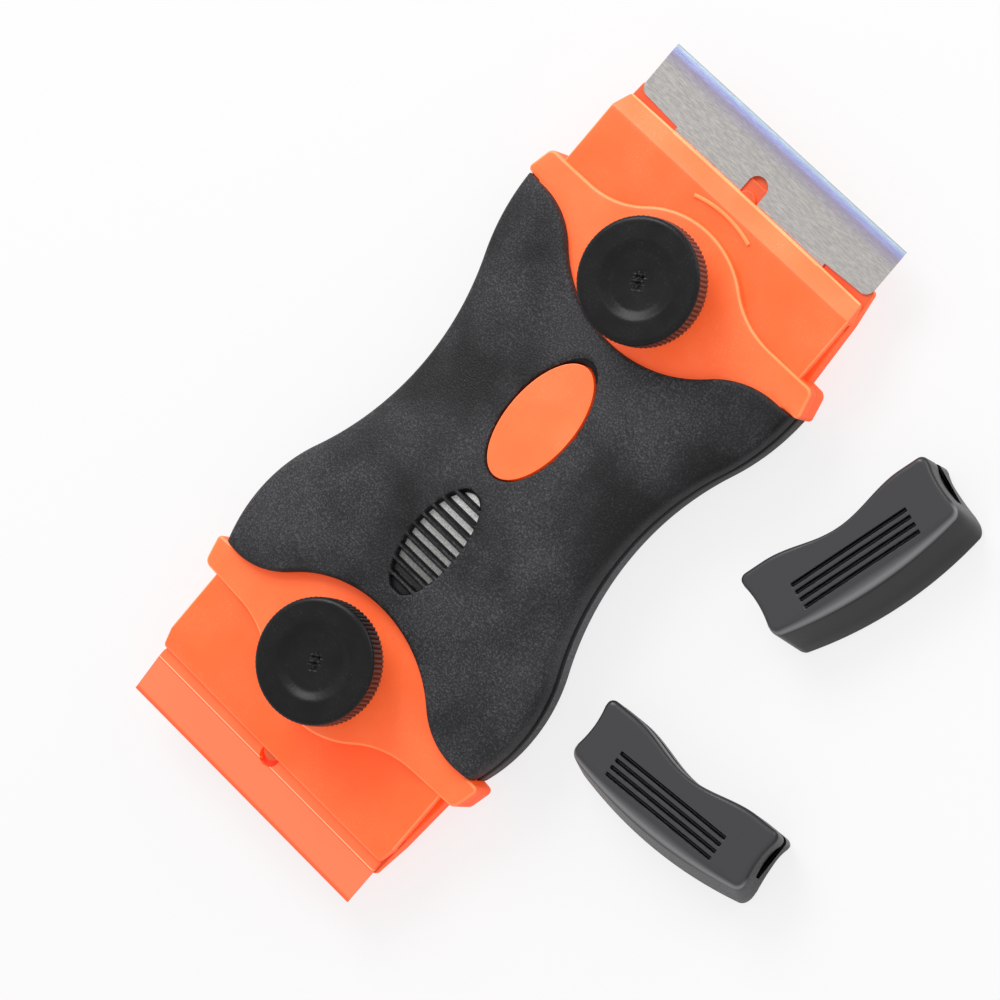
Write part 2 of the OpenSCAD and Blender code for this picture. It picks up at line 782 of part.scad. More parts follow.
// Disc with rounded rims, which trims the knurl
module rounded_disc() {
    r = knob_d / 2;
    low = [for (a = steps(270, 360, section_steps / 2)) [r - rim_r + rim_r * cos(a), rim_r + rim_r * sin(a)]];
    high = [for (a = steps(0, 90, section_steps / 2)) [r - rim_r + rim_r * cos(a), disc_h - rim_r + rim_r * sin(a)]];
    rotate_extrude($fn = round_fn)
        polygon(concat([[0, 0]], low, high, [[0, disc_h]]));
}

// Thumb knob: knurled disc on a collar, dished top, pocket for its insert
module knob() {
    dish_r = (pow(dish_d / 2, 2) + dish_depth * dish_depth) / (2 * dish_depth);
    translate([0, knob_y, knob_base_z])
        difference() {
            union() {
                cylinder(d = collar_d, h = collar_h + rim_r, $fn = round_fn);
                translate([0, 0, collar_h])
                    intersection() {
                        linear_extrude(height = disc_h) knurl_outline();
                        rounded_disc();
                    }
            }
            insert_blank();
            translate([0, 0, -over])
                cylinder(d = insert_d, h = over, $fn = round_fn);
            translate([0, 0, collar_h + disc_h + dish_r - dish_depth])
                sphere(r = dish_r, $fn = round_fn);
        }
}

module front_knob() {
    color("DarkSlateGray") at_seam() knob();
}

module rear_knob() {
    color("DarkSlateGray") at_seam() mirror([0, 1, 0]) knob();
}

// Blade outline about its centre: two cutting edges, side notches, centre slot
module blade_plan() {
    w = blade_w / 2;
    h = blade_h / 2;
    shoulder = h - shoulder_len;
    corner = [for (a = steps(360, 270, section_steps / 2))
        [w - shoulder_r + shoulder_r * cos(a), shoulder + shoulder_r + shoulder_r * sin(a)]];
    upper_right = concat([[w, h]], corner, [[w - side_notch, shoulder - shoulder_fall]]);
    right = concat(upper_right, [for (i = [len(upper_right) - 1:-1:0]) [upper_right[i][0], -upper_right[i][1]]]);
    difference() {
        polygon(concat(right, mirrored(right)));
        square([slot_w, slot_len - slot_w], center = true);
        for (y = [-1, 1])
            translate([0, y * (slot_len - slot_w) / 2])
                circle(d = slot_w, $fn = round_fn);
    }
}

// Blade lying on its seat, with both edges sloped on the upper side
module blade(t, bevel, edge_t) {
    h = blade_h / 2;
    intersection() {
        linear_extrude(height = t) blade_plan();
        across(blade_w + over)
            polygon([[-h, 0], [h, 0], [h, edge_t], [h - bevel, t], [bevel - h, t], [-h, edge_t]]);
    }
}

module steel_blade() {
    color("LightGray") at_seam()
        translate([0, steel_y, 0])
            blade(steel_t, steel_bevel, steel_edge_t);
}

module plastic_blade() {
    color("Coral") at_seam()
        translate([0, -plastic_y, 0])
            blade(plastic_t, plastic_bevel, plastic_edge_t);
}

// Blade cover about its middle: front towards +Y, blade slot open towards -Y and at both ends
module cover() {
    low = [for (a = steps(0, 90, cover_edge_steps))
        cover_ring(cover_edge_r * (1 - sin(a)), cover_edge_r * (1 - cos(a)))];
    high = [for (a = steps(90, 0, cover_edge_steps))
        cover_ring(cover_edge_r * (1 - sin(a)), cover_h - cover_edge_r * (1 - cos(a)))];
    difference() {
        skin(concat(low, high));
        translate([-cover_len, -cover_half_depth - over, edge_slot_z])
            cube([2 * cover_len, edge_slot_depth + over, edge_slot_h]);
        for (i = [0:groove_count - 1])
            translate([-groove_len / 2, groove_ahead + (i - (groove_count - 1) / 2) * groove_pitch - groove_w / 2,
                       cover_h - groove_depth])
                cube([groove_len, groove_w, over]);
    }
}

module front_cover() {
    color("DimGray")
        translate([front_cover_x, front_cover_y, 0])
            rotate([0, 0, front_cover_turn]) cover();
}

module rear_cover() {
    color("DimGray")
        translate([rear_cover_x, rear_cover_y, 0])
            rotate([0, 0, rear_cover_turn]) cover();
}

lower_shell();
lower_grip();
upper_shell();
upper_grip();
front_bolt();
rear_bolt();
front_washer();
rear_washer();
front_insert();
rear_insert();
front_knob();
rear_knob();
steel_blade();
plastic_blade();
front_cover();
rear_cover();
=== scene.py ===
"""Looks of the razor blade scraper: two clamped handle halves with soft grips,
thumb knobs, a steel and a plastic blade, and two loose blade covers.

Sizes are in millimetres in the frame of the CAD model, +Z up from the surface
the tool rests on and +Y towards the steel blade; meshes are written in metres.
"""

import bmesh
import bpy
import numpy as np
from mathutils import Matrix

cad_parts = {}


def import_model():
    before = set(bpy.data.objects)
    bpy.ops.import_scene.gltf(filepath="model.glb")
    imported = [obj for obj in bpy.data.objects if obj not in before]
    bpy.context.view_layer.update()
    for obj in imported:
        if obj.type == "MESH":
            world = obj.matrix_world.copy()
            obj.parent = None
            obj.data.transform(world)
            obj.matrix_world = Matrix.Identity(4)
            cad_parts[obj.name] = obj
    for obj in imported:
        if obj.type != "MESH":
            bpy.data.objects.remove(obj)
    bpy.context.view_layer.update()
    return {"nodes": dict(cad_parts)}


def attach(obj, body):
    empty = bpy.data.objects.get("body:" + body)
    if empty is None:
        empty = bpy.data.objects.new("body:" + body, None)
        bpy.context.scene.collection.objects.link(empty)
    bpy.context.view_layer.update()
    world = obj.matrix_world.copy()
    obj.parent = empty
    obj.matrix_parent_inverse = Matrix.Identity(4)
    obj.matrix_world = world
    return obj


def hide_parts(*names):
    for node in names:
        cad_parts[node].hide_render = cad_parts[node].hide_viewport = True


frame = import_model()

MM = 0.001
SEAM = 6.0                       # height of the parting plane
SEAM_SLIT = 0.4                  # slit between the two soft grips
STEP_W = 0.3                     # width over which a step in a face is rounded
TO_REAR, TO_LEFT = (1, -1, 1), (-1, 1, 1)   # signs of the axes in a mirrored mesh

# Side outline of the handle: three arcs that meet tangent
WAIST_HALF_W, WAIST_Y, WAIST_R = 17.7, 3.6, 40.0
FRONT_HALF_W, FRONT_FLARE_Y = 23.2, 31.0
REAR_HALF_W, REAR_FLARE_Y = 23.6, -23.0

# Soft grips
GRIP_END_Y, NOTCH_DEPTH, NOTCH_R, HORN_R = 30.4, 8.45, 18.05, 11.0
GRIP_SIDE_H, GRIP_SIDE_T, GRIP_EDGE_R = 2.6, 1.6, 0.55
CROWN_H, PALM_RISE, PALM_Y, PALM_LEN = 5.2, 1.6, -9.0, 13.0
LOWER_CROWN_H, UPPER_POWER, LOWER_POWER = 6.4, 2.6, 3.6
UPPER_GRID, LOWER_GRID = (310, 130), (160, 130)   # rows and columns of the grips' faces
COLUMN_TERMS = (0.5, 1.35, -0.85)                 # of s, s^3 and s^5 in a column's place

# Oval and ribbed thumb patch
OVAL_Y, OVAL_HALF_LEN, OVAL_HALF_W, OVAL_GAP = 9.0, 8.7, 4.4, 0.25
OVAL_REAR_Z, OVAL_FRONT_Z, OVAL_FOOT_Z, OVAL_CLEAR, WINDOW_DEPTH = 6.0, 4.8, 3.0, 0.15, 1.6
DENT_LEN, DENT_RUN, DENT_START, DENT_CLEAR, DENT_WALL = 1.6, 0.9, 0.3, 0.05, 0.45
RIB_COUNT, RIB_PITCH, RIB_SLOT_W, RIB_DEPTH = 10, 1.65, 1.1, 0.9
RIB_Y, RIB_HALF_LEN, RIB_HALF_W = -11.0, 8.15, 3.5

# Saddles with their ears
BELL_Y, BELL_R, NECK_R = 40.4, 12.9, 12.0
EAR_FRONT_Y, EAR_FRONT_HALF_W, EAR_REAR_HALF_W, EAR_CORNER_R = 34.7, 23.1, 24.1, 1.1
EAR_SLANT, EAR_GAP, EAR_HEEL_R = 0.15, 0.15, 0.6
SADDLE_H, SADDLE_CROWN_R = 4.1, 160.0
LOWER_SADDLE_H, LOWER_CROWN_R = 4.6, 200.0
SADDLE_BACK_Y = 20.0             # where the saddle ends, under the grip
CORE_UP, CORE_DOWN, CORE_LAP = 2.6, 3.0, 1.0

# Jaws
JAW_HALF_W, JAW_NOSE_HALF_W, JAW_FRONT_Y, JAW_SLOPE_LEN = 20.8, 20.25, 46.3, 2.6
JAW_TOP, JAW_NOSE_H, JAW_GAP, LIP_LEN = 2.5, 0.75, 1.4, 3.1
JAW_EDGE_R, JAW_CORNER_R, JAW_CORNER_LEN, JAW_BOW, SLOPE_BLEND = 0.3, 0.5, 0.8, 0.12, 0.12
LOWER_JAW_FRONT_Y, LOWER_JAW_NOSE_HALF_W, LOWER_JAW_HALF_W = 48.4, 20.3, 21.2
LOWER_JAW_T, LOWER_JAW_NOSE_T, LOWER_SLOPE_LEN = 2.4, 1.0, 5.0
JAW_BACK_Y = 32.0                # where the jaws end, inside the saddle
MARK_H, MARK_W, MARK_HALF_LEN, MARK_AHEAD = 0.3, 0.55, 4.8, 2.4

# Blades
BLADE_W, BLADE_H, SHOULDER_LEN, SHOULDER_FALL = 40.0, 18.6, 7.4, 0.35
SHOULDER_R, SIDE_NOTCH, SLOT_W, SLOT_LEN = 1.2, 7.0, 2.9, 8.4
STEEL_T, STEEL_BEVEL, STEEL_EDGE_T, STEEL_EDGE_Y = 0.25, 1.2, 0.05, 54.5
TINT_LEN = 3.0                   # how far the edge's violet tint reaches in
PLASTIC_T, PLASTIC_BEVEL, PLASTIC_EDGE_T, PLASTIC_EDGE_Y = 1.2, 5.4, 0.3, -53.2
POST_W, POST_LEN, POST_END_Y, POST_PROUD = 2.4, 5.2, 47.1, 0.35
TONGUE_HALF_W, TONGUE_END_Y, TONGUE_DROP, TONGUE_ROOT = 2.2, 50.2, 0.3, 3.0
POCKET_Y, POCKET_HALF_W = 33.9, 20.3   # pocket for a blade's rear edge under the upper saddle
STEEL_LOW_SHARE, PLASTIC_LOW_SHARE = 0.6, 0.0   # shares of the grinding that are on the underside
MIDDLE_SLIT = 0.001              # keeps a blade's mirrored halves from merging

# Clamp
KNOB_Y, KNOB_D, DISC_H, RIM_R = 31.2, 16.1, 4.0, 0.7
COLLAR_D, COLLAR_H, COLLAR_CUT, COLLAR_FOOT = 11.4, 3.6, 0.3, 0.2
KNURL_COUNT, KNURL_DEPTH, KNURL_START, KNURL_RUN = 80, 0.16, 0.25, 0.5
DISH_D, DISH_DEPTH, DISH_LIP, DISH_BOWL = 10.2, 0.6, 1.5, 0.45
GATE_R, GATE_ROUGH, GATE_SINK, GATE_EDGE, GATE_WOBBLE, FINE_SHARE = 1.0, 0.16, 0.05, 0.4, 0.25, 0.7
COARSE_WAVES, FINE_WAVES = (5.3, 6.9), (11.7, 4.2, 9.1, 3.3)   # of the gate mark, radians per millimetre
KNOB_BASE = SEAM + 4.7
HEX_FLATS, HEX_CLEAR, HEX_TOP = 7.0, 0.15, SEAM - 1.8

# Covers
COVER_LEN, COVER_DEPTH, COVER_H = 28.5, 8.6, 8.0
FRONT_BULGE, FRONT_LEAN, FRONT_FALL, END_DIP, END_BOW = 1.9, 2.6, 0.12, 0.7, 0.1
REAR_DIP, REAR_UNDERCUT, DIP_SHARE = 1.7, 1.4, 0.72
COVER_CORNER_R, COVER_EDGE_R = 1.4, 0.8
EDGE_SLOT_Z, EDGE_SLOT_H, EDGE_SLOT_DEPTH = 3.0, 1.5, 6.25
GROOVE_LEN, GROOVE_W, GROOVE_PITCH, GROOVE_DEPTH, GROOVE_COUNT = 17.0, 0.4, 1.05, 0.5, 4
GROOVE_AHEAD, GROOVE_STEP_W = 2.0, 0.25
COVER_PLACES = {"front_cover": (38.9, 23.6, -105.5), "rear_cover": (43.1, -13.4, 185.0)}

# Where the painted light and shade lie: upward parts of normals, and depths below an edge or face
LEVEL_UP, SLOPE_UP, NOSE_UP, CREASE_UP, SEAT_UP, WALL_UP = 0.94, 0.25, 0.1, 0.35, 0.8, 0.5
SADDLE_SKIN, MARK_SKIN, MARK_START, CREST_SHARE = 0.2, 0.12, 0.5, 0.35
SHADE_LEN, SHADE_DEPTH, SEAM_SHADE_LOW, SEAM_SHADE_HIGH = 4.0, 0.6, 1.15, 0.95
OUTER_Z = SEAM + 0.5             # the upper half's outer faces lie above this
SLOPE_START_Y = JAW_FRONT_Y - JAW_SLOPE_LEN - 0.1   # just behind a jaw's slope

# Camera fitted to the photograph: degrees, millimetres and pixels of a square frame
CAM_AZ, CAM_EL, CAM_ROLL = 121.665, 68.727, -79.449
CAM_DIST, CAM_FOCAL_PX, FRAME_PX, SENSOR_MM = 681.54, 5464.9, 1000.0, 36.0
CAM_TARGET = np.array([0.838, -2.700, SEAM])

# Stage
FLOOR_GREY, FLOOR_GLOW, SKY_STRENGTH = 0.86, 0.78, 0.65


# Shape helpers

def smooth_step(v):
    """Zero below 0, one above 1, and 3v^2 - 2v^3 between."""
    v = np.clip(v, 0.0, 1.0)
    return v * v * (3.0 - 2.0 * v)


def soft_min(a, b, width):
    """The lower of two heights, with their crossing rounded over a width."""
    return 0.5 * (a + b - np.sqrt((a - b) ** 2 + width ** 2))


def arc_rise(r, d):
    """Height of an arc of radius r at distance d from its centre line."""
    return np.sqrt(np.maximum(0.0, r * r - d * d))


def joined(*axes):
    """Points from arrays of their coordinates."""
    return np.stack(axes, -1)


def even_points(path, spacing):
    """The same polyline with points at an even spacing along its length."""
    length = np.concatenate([[0.0], np.cumsum(np.hypot(*np.diff(path, axis=0).T))])
    at = np.linspace(0.0, length[-1], int(length[-1] / spacing) + 2)
    return np.stack([np.interp(at, length, path[:, i]) for i in range(2)], -1)


def corner(at, before, after, r, count=10):
    """Arc of radius r that rounds the corner of a path at a point."""
    at, before, after = (np.asarray(p, float) for p in (at, before, after))
    a = (before - at) / np.linalg.norm(before - at)
    b = (after - at) / np.linalg.norm(after - at)
    half = np.arccos(np.clip(a @ b, -1, 1)) / 2
    reach = r / np.tan(half)
    t = np.linspace(0.0, 1.0, count)[:, None]
    centre = at + (a + b) / np.linalg.norm(a + b) * r / np.sin(half)
    ray = (1 - t) * (at + a * reach - centre) + t * (at + b * reach - centre)
    return centre + ray / np.linalg.norm(ray, axis=1, keepdims=True) * r


def inset_path(path, inset):
    """The path moved to its right-hand side by an inset, along its normals."""
    d = np.gradient(path, axis=0)
    d /= np.linalg.norm(d, axis=1, keepdims=True)
    return path + inset * joined(d[:, 1], -d[:, 0])


def grid_quads(rows, cols, first=0, wrap=False):
    """Quads of a grid of points numbered row by row; wrap joins the last column to the first."""
    i, j = np.meshgrid(np.arange(rows - 1), np.arange(cols if wrap else cols - 1), indexing="ij")
    k = (j + 1) % cols
    quads = joined(i * cols + j, i * cols + k, (i + 1) * cols + k, (i + 1) * cols + j)
    return quads.reshape(-1, 4) + first


def border(grid):
    """The four sides of a grid, of points or of their numbers, as one loop."""
    return np.concatenate([grid[0, :-1], grid[:-1, -1], grid[-1, :0:-1], grid[:0:-1, 0]])


def stack(parts):
    """Several meshes, each points and quads, as one."""
    points, quads, first = [], [], 0
    for p, q in parts:
        points.append(p)
        quads.append(q + first)
        first += len(p)
    return np.concatenate(points), np.concatenate(quads)


def with_height(plan, z):
    """Plan points lifted to a height."""
    return np.concatenate([plan, np.broadcast_to(z, plan.shape[:-1])[..., None]], -1)


def at_height(z):
    """A level height as a function of the place."""
    return lambda x, y: z + 0 * x


def plate(plan, top, low, top_r, low_r, steps=5):
    """Closed moulded plate. plan(inset) is a grid of plan points drawn in by an inset,
    top(x, y) and low(x, y) are heights. The border runs from the top face round a
    quarter circle, down the wall and round a quarter circle to the under face."""
    upper, under = plan(top_r), plan(low_r)
    rows, cols = upper.shape[:2]
    angles = np.linspace(0.0, np.pi / 2, steps + 1)
    loops = []
    for a in angles[1:]:
        b = border(plan(top_r * (1 - np.sin(a))))
        loops.append(with_height(b, top(b[:, 0], b[:, 1]) - top_r * (1 - np.cos(a))))
    for a in angles[:0:-1]:
        b = border(plan(low_r * (1 - np.sin(a))))
        loops.append(with_height(b, low(b[:, 0], b[:, 1]) + low_r * (1 - np.cos(a))))
    n, loop_len = rows * cols, len(loops[0])
    faces = [with_height(g, f(g[..., 0], g[..., 1])).reshape(-1, 3) for g, f in ((upper, top), (under, low))]
    points = np.concatenate(faces + loops)
    edge = border(np.arange(n).reshape(rows, cols))
    chain = np.concatenate([edge, np.arange(len(loops) * loop_len) + 2 * n, edge + n])
    wall = chain[grid_quads(len(loops) + 2, loop_len, wrap=True)]
    return points, np.concatenate([grid_quads(rows, cols), grid_quads(rows, cols, n)[:, ::-1], wall])


def rungs(outline, cols, bunch=0.0):
    """Plan of a shape that is symmetric across the tool: each point of its right-hand
    outline is joined to its mirror image by a straight rung. bunch draws the columns
    towards the middle by a share of a cubic."""
    even = np.linspace(-1.0, 1.0, cols)
    across = even * (1 - bunch) + bunch * even ** 3

    def plan(inset):
        p = inset_path(outline, inset)
        p[:, 0] = np.maximum(p[:, 0], 0.0)
        return joined(p[:, :1] * across, np.repeat(p[:, 1:], cols, 1))
    return plan


def mirrored(mesh, signs):
    """A mesh flipped along the axes whose sign is -1."""
    return mesh[0] * np.array(signs, float), mesh[1]


def add_object(name, data):
    """Object with given data, in the scene."""
    obj = bpy.data.objects.new(name, data)
    bpy.context.scene.collection.objects.link(obj)
    return obj


def piece(name, mesh, body, material, nodes, sharp=35.0, inlays=()):
    """One object: doubled points merged, normals outward, edges past an angle kept crisp.
    Each inlay is a further material and a function of the faces' centres and upward
    normals that says where it goes."""
    points, quads = mesh
    data = bpy.data.meshes.new(name)
    data.from_pydata((points * MM).tolist(), [], quads.tolist())
    work = bmesh.new()
    work.from_mesh(data)
    same_place = 1e-7
    bmesh.ops.remove_doubles(work, verts=work.verts, dist=same_place)
    bmesh.ops.dissolve_degenerate(work, edges=work.edges, dist=same_place)
    bmesh.ops.recalc_face_normals(work, faces=work.faces)
    work.to_mesh(data)
    work.free()
    data.polygons.foreach_set("use_smooth", np.ones(len(data.polygons), bool))
    data.set_sharp_from_angle(angle=np.radians(sharp))
    data.materials.append(material)
    count = len(data.polygons)
    centres, normals = np.empty(3 * count), np.empty(3 * count)
    index = np.zeros(count, np.int32)
    data.polygons.foreach_get("center", centres)
    data.polygons.foreach_get("normal", normals)
    for number, (further, where) in enumerate(inlays, 1):
        data.materials.append(further)
        index[where(*(centres.reshape(-1, 3) / MM).T, normals[2::3])] = number
    data.polygons.foreach_set("material_index", index)
    obj = add_object(name, data)
    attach(obj, body)
    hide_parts(*nodes)


# Handle outline and grips

def tangent_sum(rise, run):
    """Sum of the radii of two arcs that meet tangent across a rise and a run."""
    return (rise * rise + run * run) / (2 * rise)


def half_w(y):
    """Half width of the handle: front flare, waist and palm end as tangent arcs."""
    front_sum = tangent_sum(FRONT_HALF_W - WAIST_HALF_W, FRONT_FLARE_Y - WAIST_Y)
    rear_sum = tangent_sum(REAR_HALF_W - WAIST_HALF_W, WAIST_Y - REAR_FLARE_Y)
    front_r, rear_r = front_sum - WAIST_R, rear_sum - WAIST_R
    front = FRONT_HALF_W - front_r + arc_rise(front_r, y - FRONT_FLARE_Y)
    rear = REAR_HALF_W - rear_r + arc_rise(rear_r, y - REAR_FLARE_Y)
    waist = WAIST_HALF_W + WAIST_R - arc_rise(WAIST_R, y - WAIST_Y)
    front_y = WAIST_Y + (FRONT_FLARE_Y - WAIST_Y) * WAIST_R / front_sum
    rear_y = WAIST_Y + (REAR_FLARE_Y - WAIST_Y) * WAIST_R / rear_sum
    return np.where(y > front_y, front, np.where(y < rear_y, rear, waist))


def two_arcs(x, inner_cy, inner_r, inner_sign, outer_cy, outer_r, flat_y):
    """An arc about the middle line, a tangent counter-arc and a flat beyond it."""
    x = np.abs(x)
    outer_cx = arc_rise(inner_r + outer_r, inner_cy - outer_cy)
    join = outer_cx * inner_r / (inner_r + outer_r)
    inner = inner_cy + inner_sign * arc_rise(inner_r, x)
    outer = outer_cy - inner_sign * arc_rise(outer_r, x - outer_cx)
    return np.where(x < join, inner, np.where(x < outer_cx, outer, flat_y))


def grip_edge(x):
    """Edge of the soft grip towards a head: round notch, horns, straight ends."""
    notch_cy, horn_cy = GRIP_END_Y - NOTCH_DEPTH + NOTCH_R, GRIP_END_Y - HORN_R
    return two_arcs(x, notch_cy, NOTCH_R, -1, horn_cy, HORN_R, GRIP_END_Y)


def saddle_edge(x):
    """Edge of the saddle towards its jaw: bell nose, hollow flanks, straight ears."""
    return two_arcs(x, BELL_Y - BELL_R, BELL_R, 1, EAR_FRONT_Y + NECK_R, NECK_R, EAR_FRONT_Y)


def ellipse_gap(x, y, a, b):
    """Distance outside an ellipse, near enough close to its edge."""
    tiny = 1e-9
    q = np.sqrt((x / a) ** 2 + (y / b) ** 2) + tiny
    slope = np.sqrt((x / a ** 2) ** 2 + (y / b ** 2) ** 2) / q + tiny
    return (q - 1.0) / slope


def grip_plan(rows, cols):
    """Plan of a grip: columns keep their share of the handle's half width and rows
    their share of the way between the two end curves, found by repeated substitution.
    The columns lie closer along the middle and at the sides, by an odd polynomial."""
    s = np.linspace(-1.0, 1.0, cols)
    share = s * (COLUMN_TERMS[0] + COLUMN_TERMS[1] * s ** 2 + COLUMN_TERMS[2] * s ** 4)
    along = np.linspace(-1.0, 1.0, rows)[:, None]
    step, rounds = 0.01, 40

    def plan(inset):
        y = along * GRIP_END_Y * np.ones_like(share)
        for _ in range(rounds):
            side = (half_w(y + step) - half_w(y - step)) / (2 * step)
            x = share * (half_w(y) - inset * np.sqrt(1 + side ** 2))
            lean = (grip_edge(x + step) - grip_edge(x - step)) / (2 * step)
            y = along * (grip_edge(x) - inset * np.sqrt(1 + lean ** 2))
        return joined(x, y)
    return plan


def crown(x, y, h, power):
    """Rounded cross-section of a grip: (x/w)^p + (z/h)^p = 1 above its straight side."""
    t = np.clip(np.abs(x) / half_w(y), 0.0, 1.0)
    return GRIP_SIDE_H + (h - GRIP_SIDE_H) * (1.0 - t ** power) ** (1.0 / power)


def palm(y):
    """Crown height along the upper grip, with the palm swell."""
    return CROWN_H + PALM_RISE * np.exp(-((y - PALM_Y) / PALM_LEN) ** 2)


def oval_plane(y):
    """Height of the oval's sloping face above the parting plane."""
    share = (y - OVAL_Y) / (2 * OVAL_HALF_LEN) + 0.5
    return OVAL_REAR_Z + (OVAL_FRONT_Z - OVAL_REAR_Z) * share


def row_gap(v, middle, pitch, count, width):
    """Distance outside the nearest of a row of slots, negative inside it."""
    first = middle - (count - 1) / 2 * pitch
    nearest = np.clip(np.round((v - first) / pitch), 0, count - 1)
    return np.abs(v - first - nearest * pitch) - width / 2


def rib_gap(x, y):
    """Distance outside the nearest slot of the thumb patch."""
    slot = row_gap(y, RIB_Y, RIB_PITCH, RIB_COUNT, RIB_SLOT_W)
    return np.maximum(slot, ellipse_gap(x, y - RIB_Y, RIB_HALF_W, RIB_HALF_LEN))


def in_dent(x, y, z, up):
    """Whether a place lies in the dent ahead of the oval."""
    dent = ellipse_gap(x, y - OVAL_Y - DENT_LEN, OVAL_HALF_W, OVAL_HALF_LEN)
    return (z > SEAM + GRIP_SIDE_H) & (dent < -DENT_WALL) & (y > OVAL_Y + OVAL_HALF_LEN / 2)


def on_jaw_slope(x, y, z, up):
    """Whether a place lies on the sloping front of a jaw."""
    return (up > SLOPE_UP) & (up < LEVEL_UP) & (z > OUTER_Z) & (np.abs(y) > SLOPE_START_Y)


def on_nose(x, y, z, up):
    """Whether a place lies on the rounded upper edge of the front jaw's nose."""
    return (y > JAW_FRONT_Y - JAW_EDGE_R) & (z > OUTER_Z) & (up > NOSE_UP)


def on_saddle(x, y, z, up):
    """Whether a place lies on the level top of a saddle or of the oval."""
    return (up > LEVEL_UP) & (z > saddle_top(x, y) - SADDLE_SKIN)


def under_blade(x, y, z, up):
    """Whether a place lies on the lower jaw's seat, in the shade of the blade."""
    return (up > SEAT_UP) & (np.abs(y) > JAW_FRONT_Y - SHADE_LEN) & (z > SEAM - SHADE_DEPTH)


def on_knurl_crest(x, y, z, up):
    """Whether a place lies on the outer crest of a knob's knurl."""
    from_axis = np.hypot(x, np.abs(y) - KNOB_Y)
    return (np.abs(up) < WALL_UP) & (from_axis > KNOB_D / 2 - CREST_SHARE * KNURL_DEPTH)


def on_crease(x, y, z, up):
    """Whether a place lies on a rounded upper edge or on the curved mark."""
    edge = (up > CREASE_UP) & (up < LEVEL_UP) & (z > OUTER_Z) & (np.abs(y) < SLOPE_START_Y)
    return edge | ((z > SEAM + JAW_TOP + MARK_H - MARK_SKIN) & (y > BELL_Y + MARK_START))


def upper_grip_top(x, y):
    """Crown, less the oval's window, the dent ahead of it and the rib slots."""
    z = crown(x, y, palm(y), UPPER_POWER)
    dent = ellipse_gap(x, y - OVAL_Y - DENT_LEN, OVAL_HALF_W, OVAL_HALF_LEN)
    ahead = smooth_step((y - OVAL_Y) / OVAL_HALF_LEN)
    fall = ahead * smooth_step(-dent / DENT_RUN + DENT_START)
    z = z - fall * np.maximum(z - oval_plane(y) - DENT_CLEAR, 0.0)
    window = ellipse_gap(x, y - OVAL_Y, OVAL_HALF_W + OVAL_GAP, OVAL_HALF_LEN + OVAL_GAP)
    z = z - WINDOW_DEPTH * smooth_step(0.5 - window / STEP_W)
    return SEAM + z - RIB_DEPTH * smooth_step(0.5 - rib_gap(x, y) / STEP_W)


def upper_grip():
    """Soft upper grip with its window, dent and ribs."""
    low = at_height(SEAM + SEAM_SLIT / 2)
    return plate(grip_plan(*UPPER_GRID), upper_grip_top, low, top_r=GRIP_EDGE_R, low_r=0.35)


def lower_grip():
    """Soft lower grip: a flatter crown with a flat land to rest on."""
    def low(x, y):
        return np.maximum(SEAM - crown(x, y, LOWER_CROWN_H, LOWER_POWER), 0.0)
    top = at_height(SEAM - SEAM_SLIT / 2)
    return plate(grip_plan(*LOWER_GRID), top, low, top_r=0.35, low_r=GRIP_EDGE_R)


# Orange halves

def saddle_outline():
    """Right-hand outline of a saddle from its nose round the ear and back under the grip."""
    x = np.linspace(0.0, EAR_FRONT_HALF_W, 200)
    slant = EAR_SLANT * smooth_step((x - BELL_R) / (EAR_FRONT_HALF_W - BELL_R))
    front = joined(x, saddle_edge(x) - slant)
    tip, heel = front[-1], np.array([EAR_REAR_HALF_W, GRIP_END_Y + EAR_GAP])
    root = np.array([half_w(np.array(GRIP_END_Y)) - GRIP_SIDE_T, GRIP_END_Y])
    back = np.array([half_w(np.array(SADDLE_BACK_Y)) - GRIP_SIDE_T, SADDLE_BACK_Y])
    return even_points(np.concatenate([
        front[x < EAR_FRONT_HALF_W - EAR_CORNER_R], corner(tip, front[-2], heel, EAR_CORNER_R),
        corner(heel, tip, root, EAR_HEEL_R), [root, back]]), spacing=0.28)


def saddle_top(x, y):
    """Height of the upper saddle's crown."""
    return SEAM + SADDLE_H - x ** 2 / (2 * SADDLE_CROWN_R)


def upper_saddle():
    """Crowned upper saddle with the pocket for the blade's rear edge on its underside."""
    def low(x, y):
        inside = np.minimum(POCKET_HALF_W - np.abs(x), y - POCKET_Y)
        return SEAM + JAW_GAP * smooth_step(0.5 + inside / STEP_W)
    return plate(rungs(saddle_outline(), cols=60), saddle_top, low, top_r=0.45, low_r=0.15)


def lower_saddle():
    """Crowned lower saddle with the hex pocket for its screw."""
    def low(x, y):
        z = SEAM - LOWER_SADDLE_H + x ** 2 / (2 * LOWER_CROWN_R)
        flats = [np.abs(x * np.cos(a) + (y - KNOB_Y) * np.sin(a)) for a in np.radians((30, 90, 150))]
        hexagon = np.maximum.reduce(flats) - HEX_FLATS / 2 - HEX_CLEAR
        return z + (HEX_TOP - z) * smooth_step(0.5 - hexagon / STEP_W)
    return plate(rungs(saddle_outline(), cols=90, bunch=0.6), at_height(SEAM), low, top_r=0.15, low_r=0.45)


def jaw_outline(front_y, nose_w, root_w, root_y):
    """Right-hand outline of a jaw: nearly straight front edge, rounded corner, side, back."""
    nose, root = (nose_w, front_y - JAW_BOW), (root_w, root_y)
    x = np.linspace(0.0, nose_w - JAW_CORNER_LEN, 60)
    front = joined(x, front_y - JAW_BOW * (x / nose_w) ** 2)
    return even_points(np.concatenate([
        front, corner(nose, front[-1], root, JAW_CORNER_R), [root, (root_w, JAW_BACK_Y)]]), spacing=0.25)


